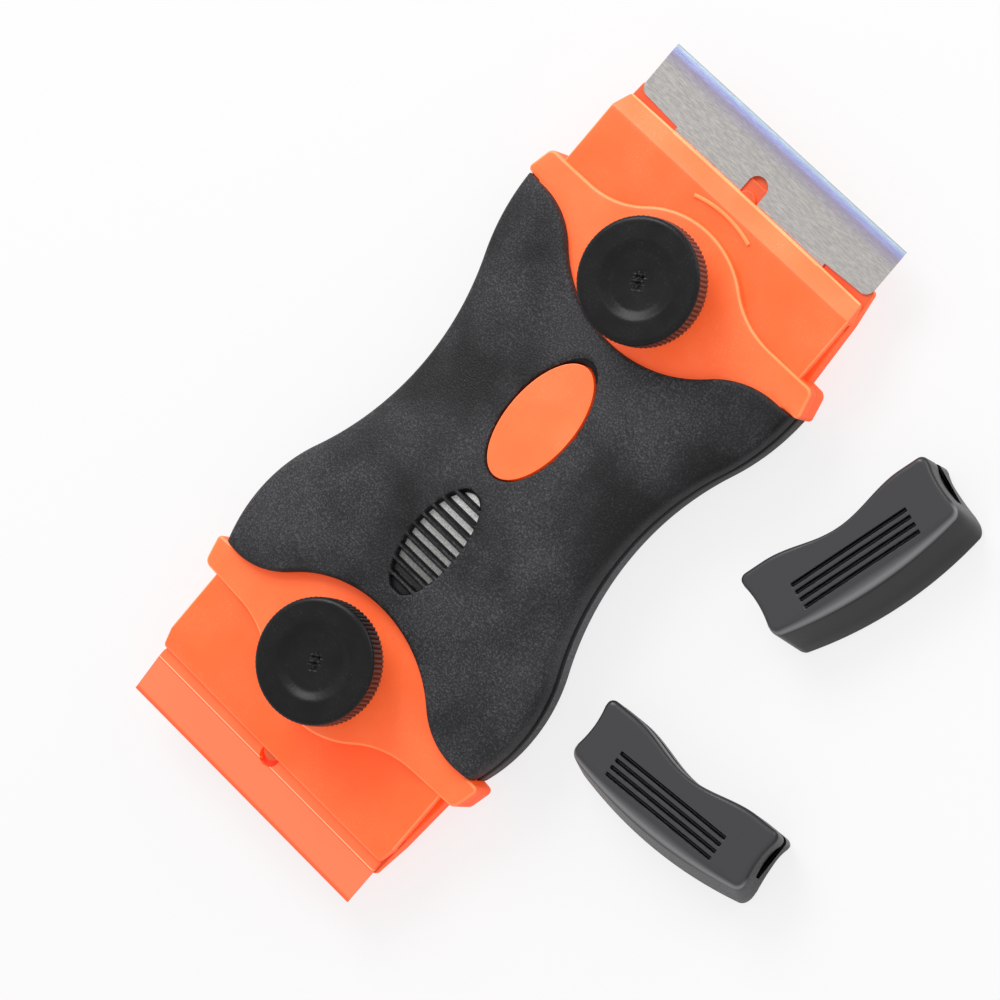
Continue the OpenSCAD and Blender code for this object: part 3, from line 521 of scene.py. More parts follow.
def upper_jaw(blade_t):
    """Upper jaw: flat top, sloping front, lip on the blade and relief behind the lip."""
    slope_y, nose_z = JAW_FRONT_Y - JAW_SLOPE_LEN, blade_t + JAW_NOSE_H

    def top(x, y):
        slope = nose_z + (JAW_TOP - nose_z) * (JAW_FRONT_Y - y) / JAW_SLOPE_LEN
        return SEAM + soft_min(JAW_TOP, slope, SLOPE_BLEND)

    def low(x, y):
        lip = smooth_step((y - JAW_FRONT_Y + LIP_LEN) / STEP_W)
        return SEAM + JAW_GAP + (blade_t - JAW_GAP) * lip
    outline = jaw_outline(JAW_FRONT_Y, JAW_NOSE_HALF_W, JAW_HALF_W, slope_y)
    return plate(rungs(outline, cols=30), top, low, top_r=JAW_EDGE_R, low_r=0.12)


def lower_jaw():
    """Lower jaw: flat seat and a sloping underside at the front."""
    def low(x, y):
        slope = (y - LOWER_JAW_FRONT_Y + LOWER_SLOPE_LEN) / LOWER_SLOPE_LEN
        return SEAM - LOWER_JAW_T + (LOWER_JAW_T - LOWER_JAW_NOSE_T) * np.clip(slope, 0.0, 1.0)
    outline = jaw_outline(LOWER_JAW_FRONT_Y, LOWER_JAW_NOSE_HALF_W, LOWER_JAW_HALF_W, EAR_FRONT_Y)
    return plate(rungs(outline, cols=30), at_height(SEAM), low, top_r=0.2, low_r=JAW_EDGE_R)


def post(blade_t):
    """Locating post with round ends, on the lower jaw."""
    r, mid = POST_W / 2, POST_END_Y - POST_LEN / 2
    a = np.linspace(np.pi / 2, -np.pi / 2, 60)
    outline = joined(r * np.cos(a), mid + r * np.sin(a) + np.sign(np.sin(a)) * (POST_LEN / 2 - r))
    top, low = at_height(SEAM + blade_t + POST_PROUD), at_height(SEAM - LOWER_JAW_NOSE_T)
    return plate(rungs(outline, cols=16), top, low, top_r=0.15, low_r=0.05)


def tongue():
    """Tongue of the lower jaw that closes the blade's slot from below."""
    root = (TONGUE_HALF_W, LOWER_JAW_FRONT_Y - TONGUE_ROOT)
    path = np.array([(0.0, TONGUE_END_Y), (TONGUE_HALF_W, TONGUE_END_Y), root])
    outline = even_points(path, spacing=0.4)
    top, low = at_height(SEAM - TONGUE_DROP), at_height(SEAM - LOWER_JAW_NOSE_T)
    return plate(rungs(outline, cols=8), top, low, top_r=0.1, low_r=0.1)


def core(z_low, z_high):
    """Hidden middle of a half, between its saddles and inside the grip."""
    y = np.linspace(SADDLE_BACK_Y + CORE_LAP, -SADDLE_BACK_Y - CORE_LAP, 120)
    outline = joined(half_w(y) - GRIP_SIDE_T, y)
    return plate(rungs(outline, cols=10), at_height(z_high), at_height(z_low), top_r=0.2, low_r=0.2)


def oval():
    """Sloping oval that shows through the grip's window."""
    a = np.linspace(np.pi / 2, -np.pi / 2, 120)
    rim = OVAL_GAP - OVAL_CLEAR
    outline = joined((OVAL_HALF_W + rim) * np.cos(a), OVAL_Y + (OVAL_HALF_LEN + rim) * np.sin(a))

    def top(x, y):
        return SEAM + oval_plane(y)
    return plate(rungs(outline, cols=30), top, at_height(SEAM + OVAL_FOOT_Z), top_r=0.12, low_r=0.1)


def jaw_mark():
    """Curved raised line ahead of the bell: a half-round ridge along an arc."""
    r = BELL_R + MARK_AHEAD + MARK_W / 2
    side = np.linspace(-1.0, 1.0, 9)

    def plan(inset):
        reach = np.arcsin((MARK_HALF_LEN - inset) / r)
        a = np.linspace(-reach, reach, 60)[:, None]
        ring = r + side * (MARK_W / 2 - inset)
        return joined(ring * np.sin(a), BELL_Y - BELL_R + ring * np.cos(a))
    top, low = at_height(SEAM + JAW_TOP + MARK_H), at_height(SEAM + JAW_GAP)
    return plate(plan, top, low, top_r=0.2, low_r=0.05)


def upper_shell():
    """Orange upper half: saddles, jaws, curved mark, oval and hidden core."""
    saddle = upper_saddle()
    return stack([saddle, mirrored(saddle, TO_REAR),
                  upper_jaw(STEEL_T), mirrored(upper_jaw(PLASTIC_T), TO_REAR),
                  jaw_mark(), oval(), core(SEAM, SEAM + CORE_UP)])


def lower_shell():
    """Orange lower half: saddles, jaws, posts, tongues and hidden core."""
    saddle, jaw = lower_saddle(), lower_jaw()
    return stack([saddle, mirrored(saddle, TO_REAR), jaw, mirrored(jaw, TO_REAR),
                  post(STEEL_T), mirrored(post(PLASTIC_T), TO_REAR), tongue(), mirrored(tongue(), TO_REAR),
                  core(SEAM - CORE_DOWN, SEAM)])


# Knobs

def knob(y_place):
    """Knurled thumb knob: a profile turned about its axis. The knurl is a rounded
    triangle wave round the wall, and a small gate mark in the soft dish is roughened
    by two products of sine waves."""
    r, top = KNOB_D / 2, COLLAR_H + DISC_H
    fall = np.linspace(0.0, np.pi / 2, 8)
    dish = np.linspace(0.0, DISH_D / 2, 60)
    lip = smooth_step((dish - DISH_D / 2 + DISH_LIP) / DISH_LIP)
    bowl = (2 * dish / DISH_D) ** 2
    dish_z = top - DISH_DEPTH + DISH_DEPTH * (DISH_BOWL * bowl + (1 - DISH_BOWL) * lip)
    rim_top = joined(r - RIM_R + RIM_R * np.sin(fall), top - RIM_R + RIM_R * np.cos(fall))
    rim_low = joined(r - RIM_R + RIM_R * np.cos(fall), COLLAR_H + RIM_R - RIM_R * np.sin(fall))
    collar_r = COLLAR_D / 2
    collar = np.array([(collar_r + COLLAR_CUT, COLLAR_H), (collar_r, COLLAR_H - COLLAR_CUT),
                       (collar_r, COLLAR_FOOT), (collar_r - COLLAR_FOOT, 0.0), (0.0, 0.0)])
    flat = joined(np.linspace(DISH_D / 2, r - RIM_R, 10)[1:-1], np.full(8, top))
    wall = joined(np.full(12, r), np.linspace(top - RIM_R, COLLAR_H + RIM_R, 14)[1:-1])
    profile = np.concatenate([joined(dish, dish_z), flat, rim_top, wall, rim_low, collar])
    turn = np.linspace(0.0, 2 * np.pi, KNURL_COUNT * 8, endpoint=False)
    tooth = np.abs((turn * KNURL_COUNT / (2 * np.pi)) % 1.0 - 0.5) * 2
    cut = KNURL_DEPTH * smooth_step(tooth)
    radius, z = profile[:, :1], profile[:, 1:]
    on_wall = (z > COLLAR_H) * (radius > r - RIM_R - 0.01)
    radius = radius - smooth_step((top - KNURL_START - z) / KNURL_RUN) * on_wall * cut
    x, y = radius * np.cos(turn), radius * np.sin(turn)
    gate = 1 - smooth_step(radius / GATE_R - GATE_EDGE + GATE_WOBBLE * np.sin(2 * turn + 0.7))
    coarse = np.sin(COARSE_WAVES[0] * x + 1.1) * np.sin(COARSE_WAVES[1] * y + 0.4)
    fine = np.sin(FINE_WAVES[0] * x - FINE_WAVES[1] * y) * np.cos(FINE_WAVES[2] * y + FINE_WAVES[3] * x)
    rough = GATE_ROUGH * (coarse + FINE_SHARE * fine) - GATE_SINK
    in_dish = z > top - DISH_DEPTH - GATE_ROUGH
    z = np.where(in_dish, z + gate * rough, z + 0 * turn)
    points = joined(x, y_place + y, KNOB_BASE + z)
    return points.reshape(-1, 3), grid_quads(len(profile), len(turn), wrap=True)


# Blades

def blade(t, bevel, edge_t, mid_y, toward, low_share):
    """Double-edged blade on its seat: right and left halves, each a grid of straight
    rows from the centre slot, or the middle line, out to the side. low_share is the
    share of the grinding that is on the underside."""
    half_wid, half_len = BLADE_W / 2, BLADE_H / 2
    shoulder, slot_r = half_len - SHOULDER_LEN, SLOT_W / 2
    slot_flat = SLOT_LEN / 2 - slot_r
    round_y = slot_flat + slot_r * np.sin(np.linspace(0.0, np.pi / 2, 24))
    corner_y = shoulder + SHOULDER_R * (1 - np.cos(np.linspace(0.0, np.pi / 2, 16)))
    upper = np.unique(np.concatenate([
        round_y, corner_y, np.linspace(0.0, half_len, 60),
        [shoulder - SHOULDER_FALL, half_len - bevel, half_len]]).round(6))
    v = np.concatenate([-upper[:0:-1], upper])
    w = np.abs(v)
    rise = SHOULDER_R - arc_rise(SHOULDER_R, np.clip(shoulder + SHOULDER_R - w, 0.0, SHOULDER_R))
    share = np.clip((w - shoulder + SHOULDER_FALL) / SHOULDER_FALL, 0.0, 1.0)
    notch = half_wid - SIDE_NOTCH + (SIDE_NOTCH - SHOULDER_R) * share
    outer = np.where(w < shoulder, notch, half_wid - rise)
    inner = np.maximum(np.where(w < slot_flat, slot_r, arc_rise(slot_r, w - slot_flat)), MIDDLE_SLIT)
    k = np.linspace(0.0, 1.0, 24)

    def ground(y):
        away = half_len - np.abs((y - mid_y) * toward)
        return (t - edge_t) * np.maximum(1 - away / bevel, 0.0)

    def top(x, y):
        return SEAM + t - (1 - low_share) * ground(y)

    def low(x, y):
        return SEAM + low_share * ground(y)

    def plan(inset):
        x = inner[:, None] * (1 - k) + outer[:, None] * k
        return joined(x, mid_y + toward * np.repeat(v[:, None], len(k), 1))
    right = plate(plan, top, low, 0.0, 0.0, steps=1)
    return stack([right, mirrored(right, TO_LEFT)])


# Covers

def bar_outline(inset):
    """Half outline of a straight bar from its right end over the front to its left end,
    with round corners and barely bowed ends."""
    long, deep = COVER_LEN / 2, COVER_DEPTH / 2
    end, r = long - COVER_CORNER_R, COVER_CORNER_R - inset
    v = np.linspace(0.0, deep - COVER_CORNER_R, 14)
    right_end = joined(end + r + END_BOW * (1 - (v / deep) ** 2), v)
    a = np.linspace(0.0, np.pi / 2, 12)[1:]
    arc = joined(end + r * np.cos(a), deep - COVER_CORNER_R + r * np.sin(a))
    u = np.linspace(end, 0.0, 110)[1:]
    front = joined(u, np.full(len(u), deep - COVER_CORNER_R + r))
    right = np.concatenate([right_end, arc, front])
    return np.concatenate([right, right[-2::-1] * (-1, 1)])


def cover_shape(p, z):
    """Bulges and leans the front of the bar, hollows and undercuts its open side, hollows its ends."""
    long, deep = COVER_LEN / 2, COVER_DEPTH / 2
    s, t = p[..., 0] / long, p[..., 1] / deep
    dip = np.where(np.abs(s) < DIP_SHARE, np.cos(np.pi / 2 * s / DIP_SHARE) ** 2, 0.0)
    foot = 1 - z / COVER_H
    front, rear = FRONT_BULGE * (1 - s * s) + FRONT_LEAN * foot, REAR_DIP * dip + REAR_UNDERCUT * foot
    out = np.where(t > 0, t * front, -t * rear)
    u = p[..., 0] - np.sign(s) * (END_DIP + END_BOW) * (1 - t * t) * s ** 4
    return joined(u, p[..., 1] + out)


def cover_top(u, v):
    """Top face: flat, with straight grooves; ahead of them it slopes to the front edge."""
    last = GROOVE_AHEAD + (GROOVE_COUNT - 1) / 2 * GROOVE_PITCH
    across = row_gap(v, GROOVE_AHEAD, GROOVE_PITCH, GROOVE_COUNT, GROOVE_W)
    beside = np.abs(u) - GROOVE_LEN / 2
    groove = GROOVE_DEPTH * smooth_step(0.5 - np.maximum(across, beside) / GROOVE_STEP_W)
    return COVER_H - groove - FRONT_FALL * np.maximum(v - last - GROOVE_W / 2, 0.0)


def cover(x_place, y_place, turn):
    """Push-on cover: level loops of the outline rise from the under face to the top.
    Between the floor and roof of the blade slot a loop keeps only its front part."""
    slot_v = EDGE_SLOT_DEPTH - COVER_DEPTH / 2

    def level(inset, z, slotted=False):
        half = bar_outline(inset)
        whole = np.concatenate([half, half[-2:0:-1] * (1, -1)])
        if slotted:
            whole[:, 1] = np.maximum(whole[:, 1], slot_v)
        return with_height(cover_shape(whole, z), z)
    angles = np.linspace(0.0, np.pi / 2, 6)
    rise = COVER_EDGE_R * (1 - np.cos(angles))
    insets = COVER_EDGE_R * (1 - np.sin(angles))
    rings = [level(i, z) for i, z in zip(insets, rise)]
    roof = EDGE_SLOT_Z + EDGE_SLOT_H
    rings += [level(0.0, z, slotted) for z, slotted in (
        (EDGE_SLOT_Z, False), (EDGE_SLOT_Z, True), (roof, True), (roof, False))]
    for inset, drop in zip(insets[::-1], rise[::-1]):
        ring = level(inset, COVER_H - drop)
        ring[:, 2] = cover_top(ring[:, 0], ring[:, 1]) - drop
        rings.append(ring)
    walls = (np.concatenate(rings), grid_quads(len(rings), len(rings[0]), wrap=True))
    edge, k = bar_outline(COVER_EDGE_R), np.linspace(1.0, -1.0, 120)
    flat = joined(np.repeat(edge[:, :1], len(k), 1), edge[:, 1:] * k)
    under, over = cover_shape(flat, 0.0), cover_shape(flat, COVER_H)
    caps = [(with_height(cap, z).reshape(-1, 3), grid_quads(*flat.shape[:2]))
            for cap, z in ((under, 0.0), (over, cover_top(over[..., 0], over[..., 1])))]
    points, quads = stack([walls] + caps)
    c, s = np.cos(np.radians(turn)), np.sin(np.radians(turn))
    spun = points @ np.array([[c, s, 0], [-s, c, 0], [0, 0, 1]])
    return spun + np.array([x_place, y_place, 0.0]), quads


# Materials

def ramp(tree, value, low, high, out_low, out_high):
    """Maps a range of one value onto another range."""
    node = tree.nodes.new("ShaderNodeMapRange")
    tree.links.new(value, node.inputs["Value"])
    for socket, number in zip(("From Min", "From Max", "To Min", "To Max"), (low, high, out_low, out_high)):
        node.inputs[socket].default_value = number
    return node.outputs["Result"]


def between(tree, value, start, stop):
    """Zero at one place and one at another, both in millimetres."""
    return ramp(tree, value, start * MM, stop * MM, 0.0, 1.0)


def maths(tree, operation, *values):
    """One arithmetic node on numbers or other nodes' results."""
    node = tree.nodes.new("ShaderNodeMath")
    node.operation = operation
    for socket, value in zip(node.inputs, values):
        if isinstance(value, float):
            socket.default_value = value
        else:
            tree.links.new(value, socket)
    return node.outputs[0]


def grain_group():
    """Moulded grain: fine noise for the height, a coarser noise for slow changes, and
    specks where the fine noise peaks, thicker where the slow noise is high."""
    group = bpy.data.node_groups.new("moulded_grain", "ShaderNodeTree")
    group.interface.new_socket("Vector", in_out="INPUT", socket_type="NodeSocketVector")
    for way, labels in (("INPUT", ("Grain", "Cloud")), ("OUTPUT", ("Height", "Cloudy", "Specks"))):
        for label in labels:
            group.interface.new_socket(label, in_out=way, socket_type="NodeSocketFloat")
    given, out = group.nodes.new("NodeGroupInput"), group.nodes.new("NodeGroupOutput")
    found = {}
    for scale, label, detail in (("Grain", "Height", 2.0), ("Cloud", "Cloudy", 4.0)):
        noise = group.nodes.new("ShaderNodeTexNoise")
        noise.inputs["Detail"].default_value = detail
        group.links.new(given.outputs["Vector"], noise.inputs["Vector"])
        group.links.new(given.outputs[scale], noise.inputs["Scale"])
        group.links.new(noise.outputs["Fac"], out.inputs[label])
        found[label] = noise.outputs["Fac"]
    peaks = ramp(group, found["Height"], 0.58, 0.76, 0.0, 1.0)
    thick = ramp(group, found["Cloudy"], 0.45, 0.66, 0.10, 1.0)
    group.links.new(maths(group, "MULTIPLY", peaks, thick), out.inputs["Specks"])
    return group


GRAIN = grain_group()


def new_material(name, rough, **sockets):
    """Material with one Principled shader and its plain socket values."""
    mat = bpy.data.materials.new(name)
    mat.use_nodes = True
    shader = mat.node_tree.nodes["Principled BSDF"]
    shader.inputs["Roughness"].default_value = rough
    for socket, value in sockets.items():
        shader.inputs[socket.replace("_", " ")].default_value = value
    return mat, mat.node_tree, shader


def colour_mix(tree, factor, first, second):
    """Blend of two colours by a factor; a colour is three numbers or another blend."""
    node = tree.nodes.new("ShaderNodeMix")
    node.data_type = "RGBA"
    tree.links.new(factor, node.inputs[0])
    for socket, colour in zip([s for s in node.inputs if s.type == "RGBA"], (first, second)):
        if isinstance(colour, tuple):
            socket.default_value = (*colour, 1.0)
        else:
            tree.links.new(colour, socket)
    return next(s for s in node.outputs if s.type == "RGBA")


def object_place(tree):
    """Place on the piece, as one vector and as its X, Y and Z."""
    place = tree.nodes.new("ShaderNodeTexCoord").outputs["Object"]
    split = tree.nodes.new("ShaderNodeSeparateXYZ")
    tree.links.new(place, split.inputs["Vector"])
    return place, split.outputs["X"], split.outputs["Y"], split.outputs["Z"]


def grain_noise(tree, place, grain=4000.0, cloud=120.0):
    """Results of the moulded grain at a place."""
    node = tree.nodes.new("ShaderNodeGroup")
    node.node_tree = GRAIN
    tree.links.new(place, node.inputs["Vector"])
    node.inputs["Grain"].default_value = grain
    node.inputs["Cloud"].default_value = cloud
    return node.outputs


def streaks(tree, place, scale, detail):
    """Noise drawn out by a scale for each axis."""
    stretch = tree.nodes.new("ShaderNodeMapping")
    stretch.inputs["Scale"].default_value = scale
    tree.links.new(place, stretch.inputs["Vector"])
    noise = tree.nodes.new("ShaderNodeTexNoise")
    noise.inputs["Scale"].default_value = 1.0
    noise.inputs["Detail"].default_value = detail
    tree.links.new(stretch.outputs["Vector"], noise.inputs["Vector"])
    return noise.outputs["Fac"]


def paint(tree, shader, colour, rough):
    """Colour and roughness of a shader from other nodes' results."""
    tree.links.new(colour, shader.inputs["Base Color"])
    tree.links.new(rough, shader.inputs["Roughness"])


def relief(tree, shader, height, depth):
    """Fine relief of a depth in millimetres."""
    bump = tree.nodes.new("ShaderNodeBump")
    bump.inputs["Strength"].default_value = 1.0
    bump.inputs["Distance"].default_value = depth * MM
    tree.links.new(height, bump.inputs["Height"])
    tree.links.new(bump.outputs["Normal"], shader.inputs["Normal"])


def tint_bands(tree, along, colour, bands):
    """Colour that changes to each band's tint between its two places along one axis."""
    for start, stop, tint in bands:
        colour = colour_mix(tree, between(tree, along, start, stop), colour, tint)
    return colour


def slot_gap(tree, along, middle, pitch, count, width):
    """Distance outside the nearest of a row of slots, negative inside it."""
    first = middle - (count - 1) / 2 * pitch
    turns = maths(tree, "DIVIDE", maths(tree, "SUBTRACT", along, first * MM), pitch * MM)
    nearest = maths(tree, "MAXIMUM", maths(tree, "ROUND", turns), 0.0)
    nearest = maths(tree, "MINIMUM", nearest, count - 1.0)
    off = maths(tree, "ABSOLUTE", maths(tree, "SUBTRACT", turns, nearest))
    return maths(tree, "SUBTRACT", maths(tree, "MULTIPLY", off, pitch * MM), width / 2 * MM)


def rib_shade_and_sheen(tree, across, along, colour, noise):
    """Thumb patch on the grip's colour: the black of the slot walls is painted shade, and the light floors
    are a painted sheen that dims towards the rear and goes dark over the rearmost slots. The gap is the
    larger of the distances to the nearest slot and to the patch's ellipse."""
    floor_sheen_dark, floor_sheen_light, floor_unlit = (0.66, 0.66, 0.64), (1.0, 1.0, 0.98), (0.01, 0.01, 0.01)
    slot = slot_gap(tree, along, RIB_Y, RIB_PITCH, RIB_COUNT, RIB_SLOT_W)
    wide = maths(tree, "DIVIDE", across, RIB_HALF_W * MM)
    long = maths(tree, "DIVIDE", maths(tree, "SUBTRACT", along, RIB_Y * MM), RIB_HALF_LEN * MM)
    squares = maths(tree, "ADD", maths(tree, "MULTIPLY", wide, wide), maths(tree, "MULTIPLY", long, long))
    outside = maths(tree, "SUBTRACT", maths(tree, "SQRT", squares), 1.0)
    gap = maths(tree, "MAXIMUM", slot, maths(tree, "MULTIPLY", outside, RIB_HALF_W * MM))
    fade = ramp(tree, along, (RIB_Y - RIB_HALF_LEN) * MM, (RIB_Y + RIB_HALF_LEN) * MM, 0.12, 1.0)
    # Painted shade: the floors of the rearmost slots go dark.
    rear_unlit = ramp(tree, along, (RIB_Y - 3.4 * RIB_PITCH) * MM, (RIB_Y - 2.6 * RIB_PITCH) * MM, 0.10, 1.0)
    floor_sheen = colour_mix(tree, noise, floor_sheen_dark, floor_sheen_light)
    floor_sheen = colour_mix(tree, maths(tree, "MULTIPLY", fade, rear_unlit), floor_unlit, floor_sheen)
    # Painted shade: the slot walls are near black, and the floors inside them carry a painted sheen.
    colour = colour_mix(tree, between(tree, gap, 0.09, 0.03), colour, SLOT_SHADE_BLACK)
    return colour_mix(tree, between(tree, gap, -0.16, -0.22), colour, floor_sheen)


def moulded(name, dark, light, rough_low, rough_high, grain, depth, cloud=120.0, speck=None, mottle=None,
            bands=(), rises=(), ribs=False, **sockets):
    """Moulded plastic or rubber: cloudy colour and gloss with a fine grain in relief.
    speck is the colour of bright specks, mottle that of the grain's peaks, bands are
    changes of tint along Y, rises those up Z, and ribs adds the thumb patch; the bands and rises used here,
    and the thumb patch, are painted light and shade."""
    mat, tree, shader = new_material(name, rough_low, **sockets)
    place, across, along, up = object_place(tree)
    noise = grain_noise(tree, place, grain, cloud)
    colour = colour_mix(tree, ramp(tree, noise["Cloudy"], 0.35, 0.65, 0.0, 1.0), dark, light)
    if speck:
        colour = colour_mix(tree, noise["Specks"], colour, speck)
    if mottle:
        peaks = ramp(tree, noise["Height"], 0.42, 0.70, 0.0, 1.0)
        thick = ramp(tree, noise["Cloudy"], 0.38, 0.64, 0.10, 1.0)
        colour = colour_mix(tree, maths(tree, "MULTIPLY", peaks, thick), colour, mottle)
    colour = tint_bands(tree, along, colour, bands)
    colour = tint_bands(tree, up, colour, rises)
    if ribs:
        colour = rib_shade_and_sheen(tree, across, along, colour, ramp(tree, noise["Height"], 0.35, 0.65, 0.0, 1.0))
    paint(tree, shader, colour, ramp(tree, noise["Cloudy"], 0.3, 0.7, rough_low, rough_high))
    relief(tree, shader, noise["Height"], depth)
    return mat


def cover_plastic_painted_light(name, x_place, y_place, turn):
    """Glossy black cover in its own axes: dark walls, a top painted lighter as a sheen, a painted highlight
    along the front edge, and grooves painted black as shade."""
    wall_dark, wall_light = (0.006, 0.006, 0.007), (0.010, 0.010, 0.012)
    edge_highlight_tone, top_sheen_tone = (0.24, 0.24, 0.25), (0.052, 0.052, 0.057)
    mat, tree, shader = new_material(name, 0.26, Specular_IOR_Level=0.4)
    place, x, y, up = object_place(tree)
    cloudy = grain_noise(tree, place)["Cloudy"]
    dx = maths(tree, "SUBTRACT", x, x_place * MM)
    dy = maths(tree, "SUBTRACT", y, y_place * MM)
    c, s = float(np.cos(np.radians(turn))), float(np.sin(np.radians(turn)))
    along = maths(tree, "ADD", maths(tree, "MULTIPLY", dx, c), maths(tree, "MULTIPLY", dy, s))
    ahead = maths(tree, "SUBTRACT", maths(tree, "MULTIPLY", dy, c), maths(tree, "MULTIPLY", dx, s))
    colour = colour_mix(tree, cloudy, wall_dark, wall_light)
    # Painted highlight along the front top edge.
    front = between(tree, ahead, COVER_DEPTH / 2 * 0.6, COVER_DEPTH / 2 * 0.9)
    edge = maths(tree, "MULTIPLY", front, between(tree, up, COVER_H - 0.8, COVER_H - 0.5))
    colour = colour_mix(tree, edge, colour, edge_highlight_tone)
    # Painted sheen: the top is lighter.
    colour = colour_mix(tree, between(tree, up, COVER_H - 0.35, COVER_H - 0.1), colour, top_sheen_tone)
    # Painted shade: the grooves are black.
    across = slot_gap(tree, ahead, GROOVE_AHEAD, GROOVE_PITCH, GROOVE_COUNT, GROOVE_W)
    beside = maths(tree, "SUBTRACT", maths(tree, "ABSOLUTE", along), GROOVE_LEN / 2 * MM)
    groove = between(tree, maths(tree, "MAXIMUM", across, beside), 0.10, 0.0)
    groove = maths(tree, "MULTIPLY", groove, between(tree, up, COVER_H - 1.0, COVER_H - 0.9))
    colour = colour_mix(tree, groove, colour, SLOT_SHADE_BLACK)
    paint(tree, shader, colour, ramp(tree, cloudy, 0.0, 1.0, 0.22, 0.32))
    return mat


def brushed_steel():
    """Blade steel: streaks along the cutting edge, a violet tint that grows towards it,
    blue and pale blue bands over the ground bevel that are a painted reflection, and a grey line at the edge
    itself."""
    dark, light, violet = (0.56, 0.54, 0.52), (0.74, 0.71, 0.68), (0.50, 0.44, 0.60)
    blue, pale_blue, edge_grey = (0.50, 0.54, 0.96), (0.72, 0.90, 1.0), (0.30, 0.34, 0.46)
    tint_y, ground_y = STEEL_EDGE_Y - TINT_LEN, STEEL_EDGE_Y - STEEL_BEVEL
    mat, tree, shader = new_material("brushed_blade_steel", 0.35, Metallic=1.0)
    place, _, along, _ = object_place(tree)
    brushed = streaks(tree, place, (1200.0, 7000.0, 1200.0), 3.0)
    colour = colour_mix(tree, ramp(tree, brushed, 0.3, 0.7, 0.0, 1.0), dark, light)
    # Painted reflection: the blue and pale blue bands over the ground bevel.
    colour = tint_bands(tree, along, colour, (
        (tint_y, ground_y, violet), (ground_y - 0.3, ground_y + 0.5, blue),
        (ground_y + 0.5, STEEL_EDGE_Y - 0.15, pale_blue), (STEEL_EDGE_Y - 0.12, STEEL_EDGE_Y, edge_grey)))
    paint(tree, shader, colour, ramp(tree, brushed, 0.3, 0.7, 0.22, 0.30))
    relief(tree, shader, brushed, 0.006)
    return mat


def turned_metal(name, dark, light, rough):
    """Small turned metal parts: fine rings of tone along their axis."""
    mat, tree, shader = new_material(name, rough, Metallic=1.0)
    rings = streaks(tree, object_place(tree)[0], (200.0, 200.0, 3000.0), 2.0)
    tree.links.new(colour_mix(tree, rings, dark, light), shader.inputs["Base Color"])
    return mat


# Painted shade: near black put in the rib slots' walls and in the covers' grooves.
SLOT_SHADE_BLACK = (0.002, 0.002, 0.002)
RIDGE_Y = PLASTIC_EDGE_Y + PLASTIC_BEVEL
# Painted glow: the orange pieces emit a little red light, which stands in for light passing through the
# plastic and keeps their shade red.
GLOW = {"Emission_Color": (1.0, 0.05, 0.0, 1.0), "Emission_Strength": 0.40}   # light through the plastic
ORANGE = moulded(
    "orange_plastic", (0.98, 0.148, 0.034), (1.0, 0.178, 0.052), 0.40, 0.48, 4500.0, 0.020,
    speck=(1.0, 0.30, 0.12), Specular_IOR_Level=0.4, **GLOW)
# Painted light: the level tops of the saddles and the oval are a lighter copy of the orange, for the light
# that falls on them.
SADDLE_TOP_LIT_ORANGE = moulded(
    "orange_saddle_tops_painted_light", (0.98, 0.185, 0.052), (1.0, 0.225, 0.074), 0.40, 0.48, 4500.0, 0.020,
    speck=(1.0, 0.34, 0.15), Specular_IOR_Level=0.4, **GLOW)
SHADE_ORANGE = moulded(
    "orange_in_shade", (0.80, 0.110, 0.028), (0.88, 0.135, 0.040), 0.45, 0.55, 4500.0, 0.020)
LIT_ORANGE = moulded(
    "orange_lit_edges", (1.0, 0.210, 0.066), (1.0, 0.255, 0.090), 0.34, 0.42, 4500.0, 0.015,
    speck=(1.0, 0.42, 0.20), **GLOW)
# Painted highlight along the rounded top edge of the front jaw's nose.
NOSE_HIGHLIGHT_ORANGE = moulded(
    "orange_nose_painted_highlight", (1.0, 0.44, 0.18), (1.0, 0.54, 0.25), 0.30, 0.38, 4500.0, 0.010, **GLOW)
# Painted highlights on the rounded upper edges and on the curved mark.
CREASE_HIGHLIGHT_ORANGE = moulded(
    "orange_crease_painted_highlights", (1.0, 0.31, 0.10), (1.0, 0.38, 0.15), 0.30, 0.38, 4500.0, 0.010, **GLOW)
# The plastic blade's bands along Y: a painted highlight line at the ridge where the bevel starts, a painted
# shade line just onto the bevel, the bevel a lighter copy for the light on it, and darker over the last half
# millimetre to the edge.
BLADE_BEVEL_LIGHT_ORANGE = moulded(
    "blade_plastic", (0.98, 0.175, 0.055), (1.0, 0.200, 0.070), 0.34, 0.42, 3500.0, 0.008, bands=(
        (RIDGE_Y + 0.14, RIDGE_Y + 0.08, (1.0, 0.55, 0.30)),
        (RIDGE_Y - 0.02, RIDGE_Y - 0.06, (0.85, 0.08, 0.02)),
        (RIDGE_Y - 0.12, RIDGE_Y - 0.18, (1.0, 0.235, 0.105)),
        (PLASTIC_EDGE_Y + 0.7, PLASTIC_EDGE_Y + 0.3, (0.92, 0.130, 0.045))), **GLOW)
# The thumb patch on this black carries painted shade in its slots and a painted sheen on their floors.
GRIP_BLACK = moulded(
    "black_grip", (0.002, 0.002, 0.003), (0.027, 0.027, 0.030), 0.50, 0.62, 4200.0, 0.10, cloud=75.0,
    speck=(0.20, 0.20, 0.20), mottle=(0.080, 0.080, 0.086), ribs=True, Specular_IOR_Level=0.35)
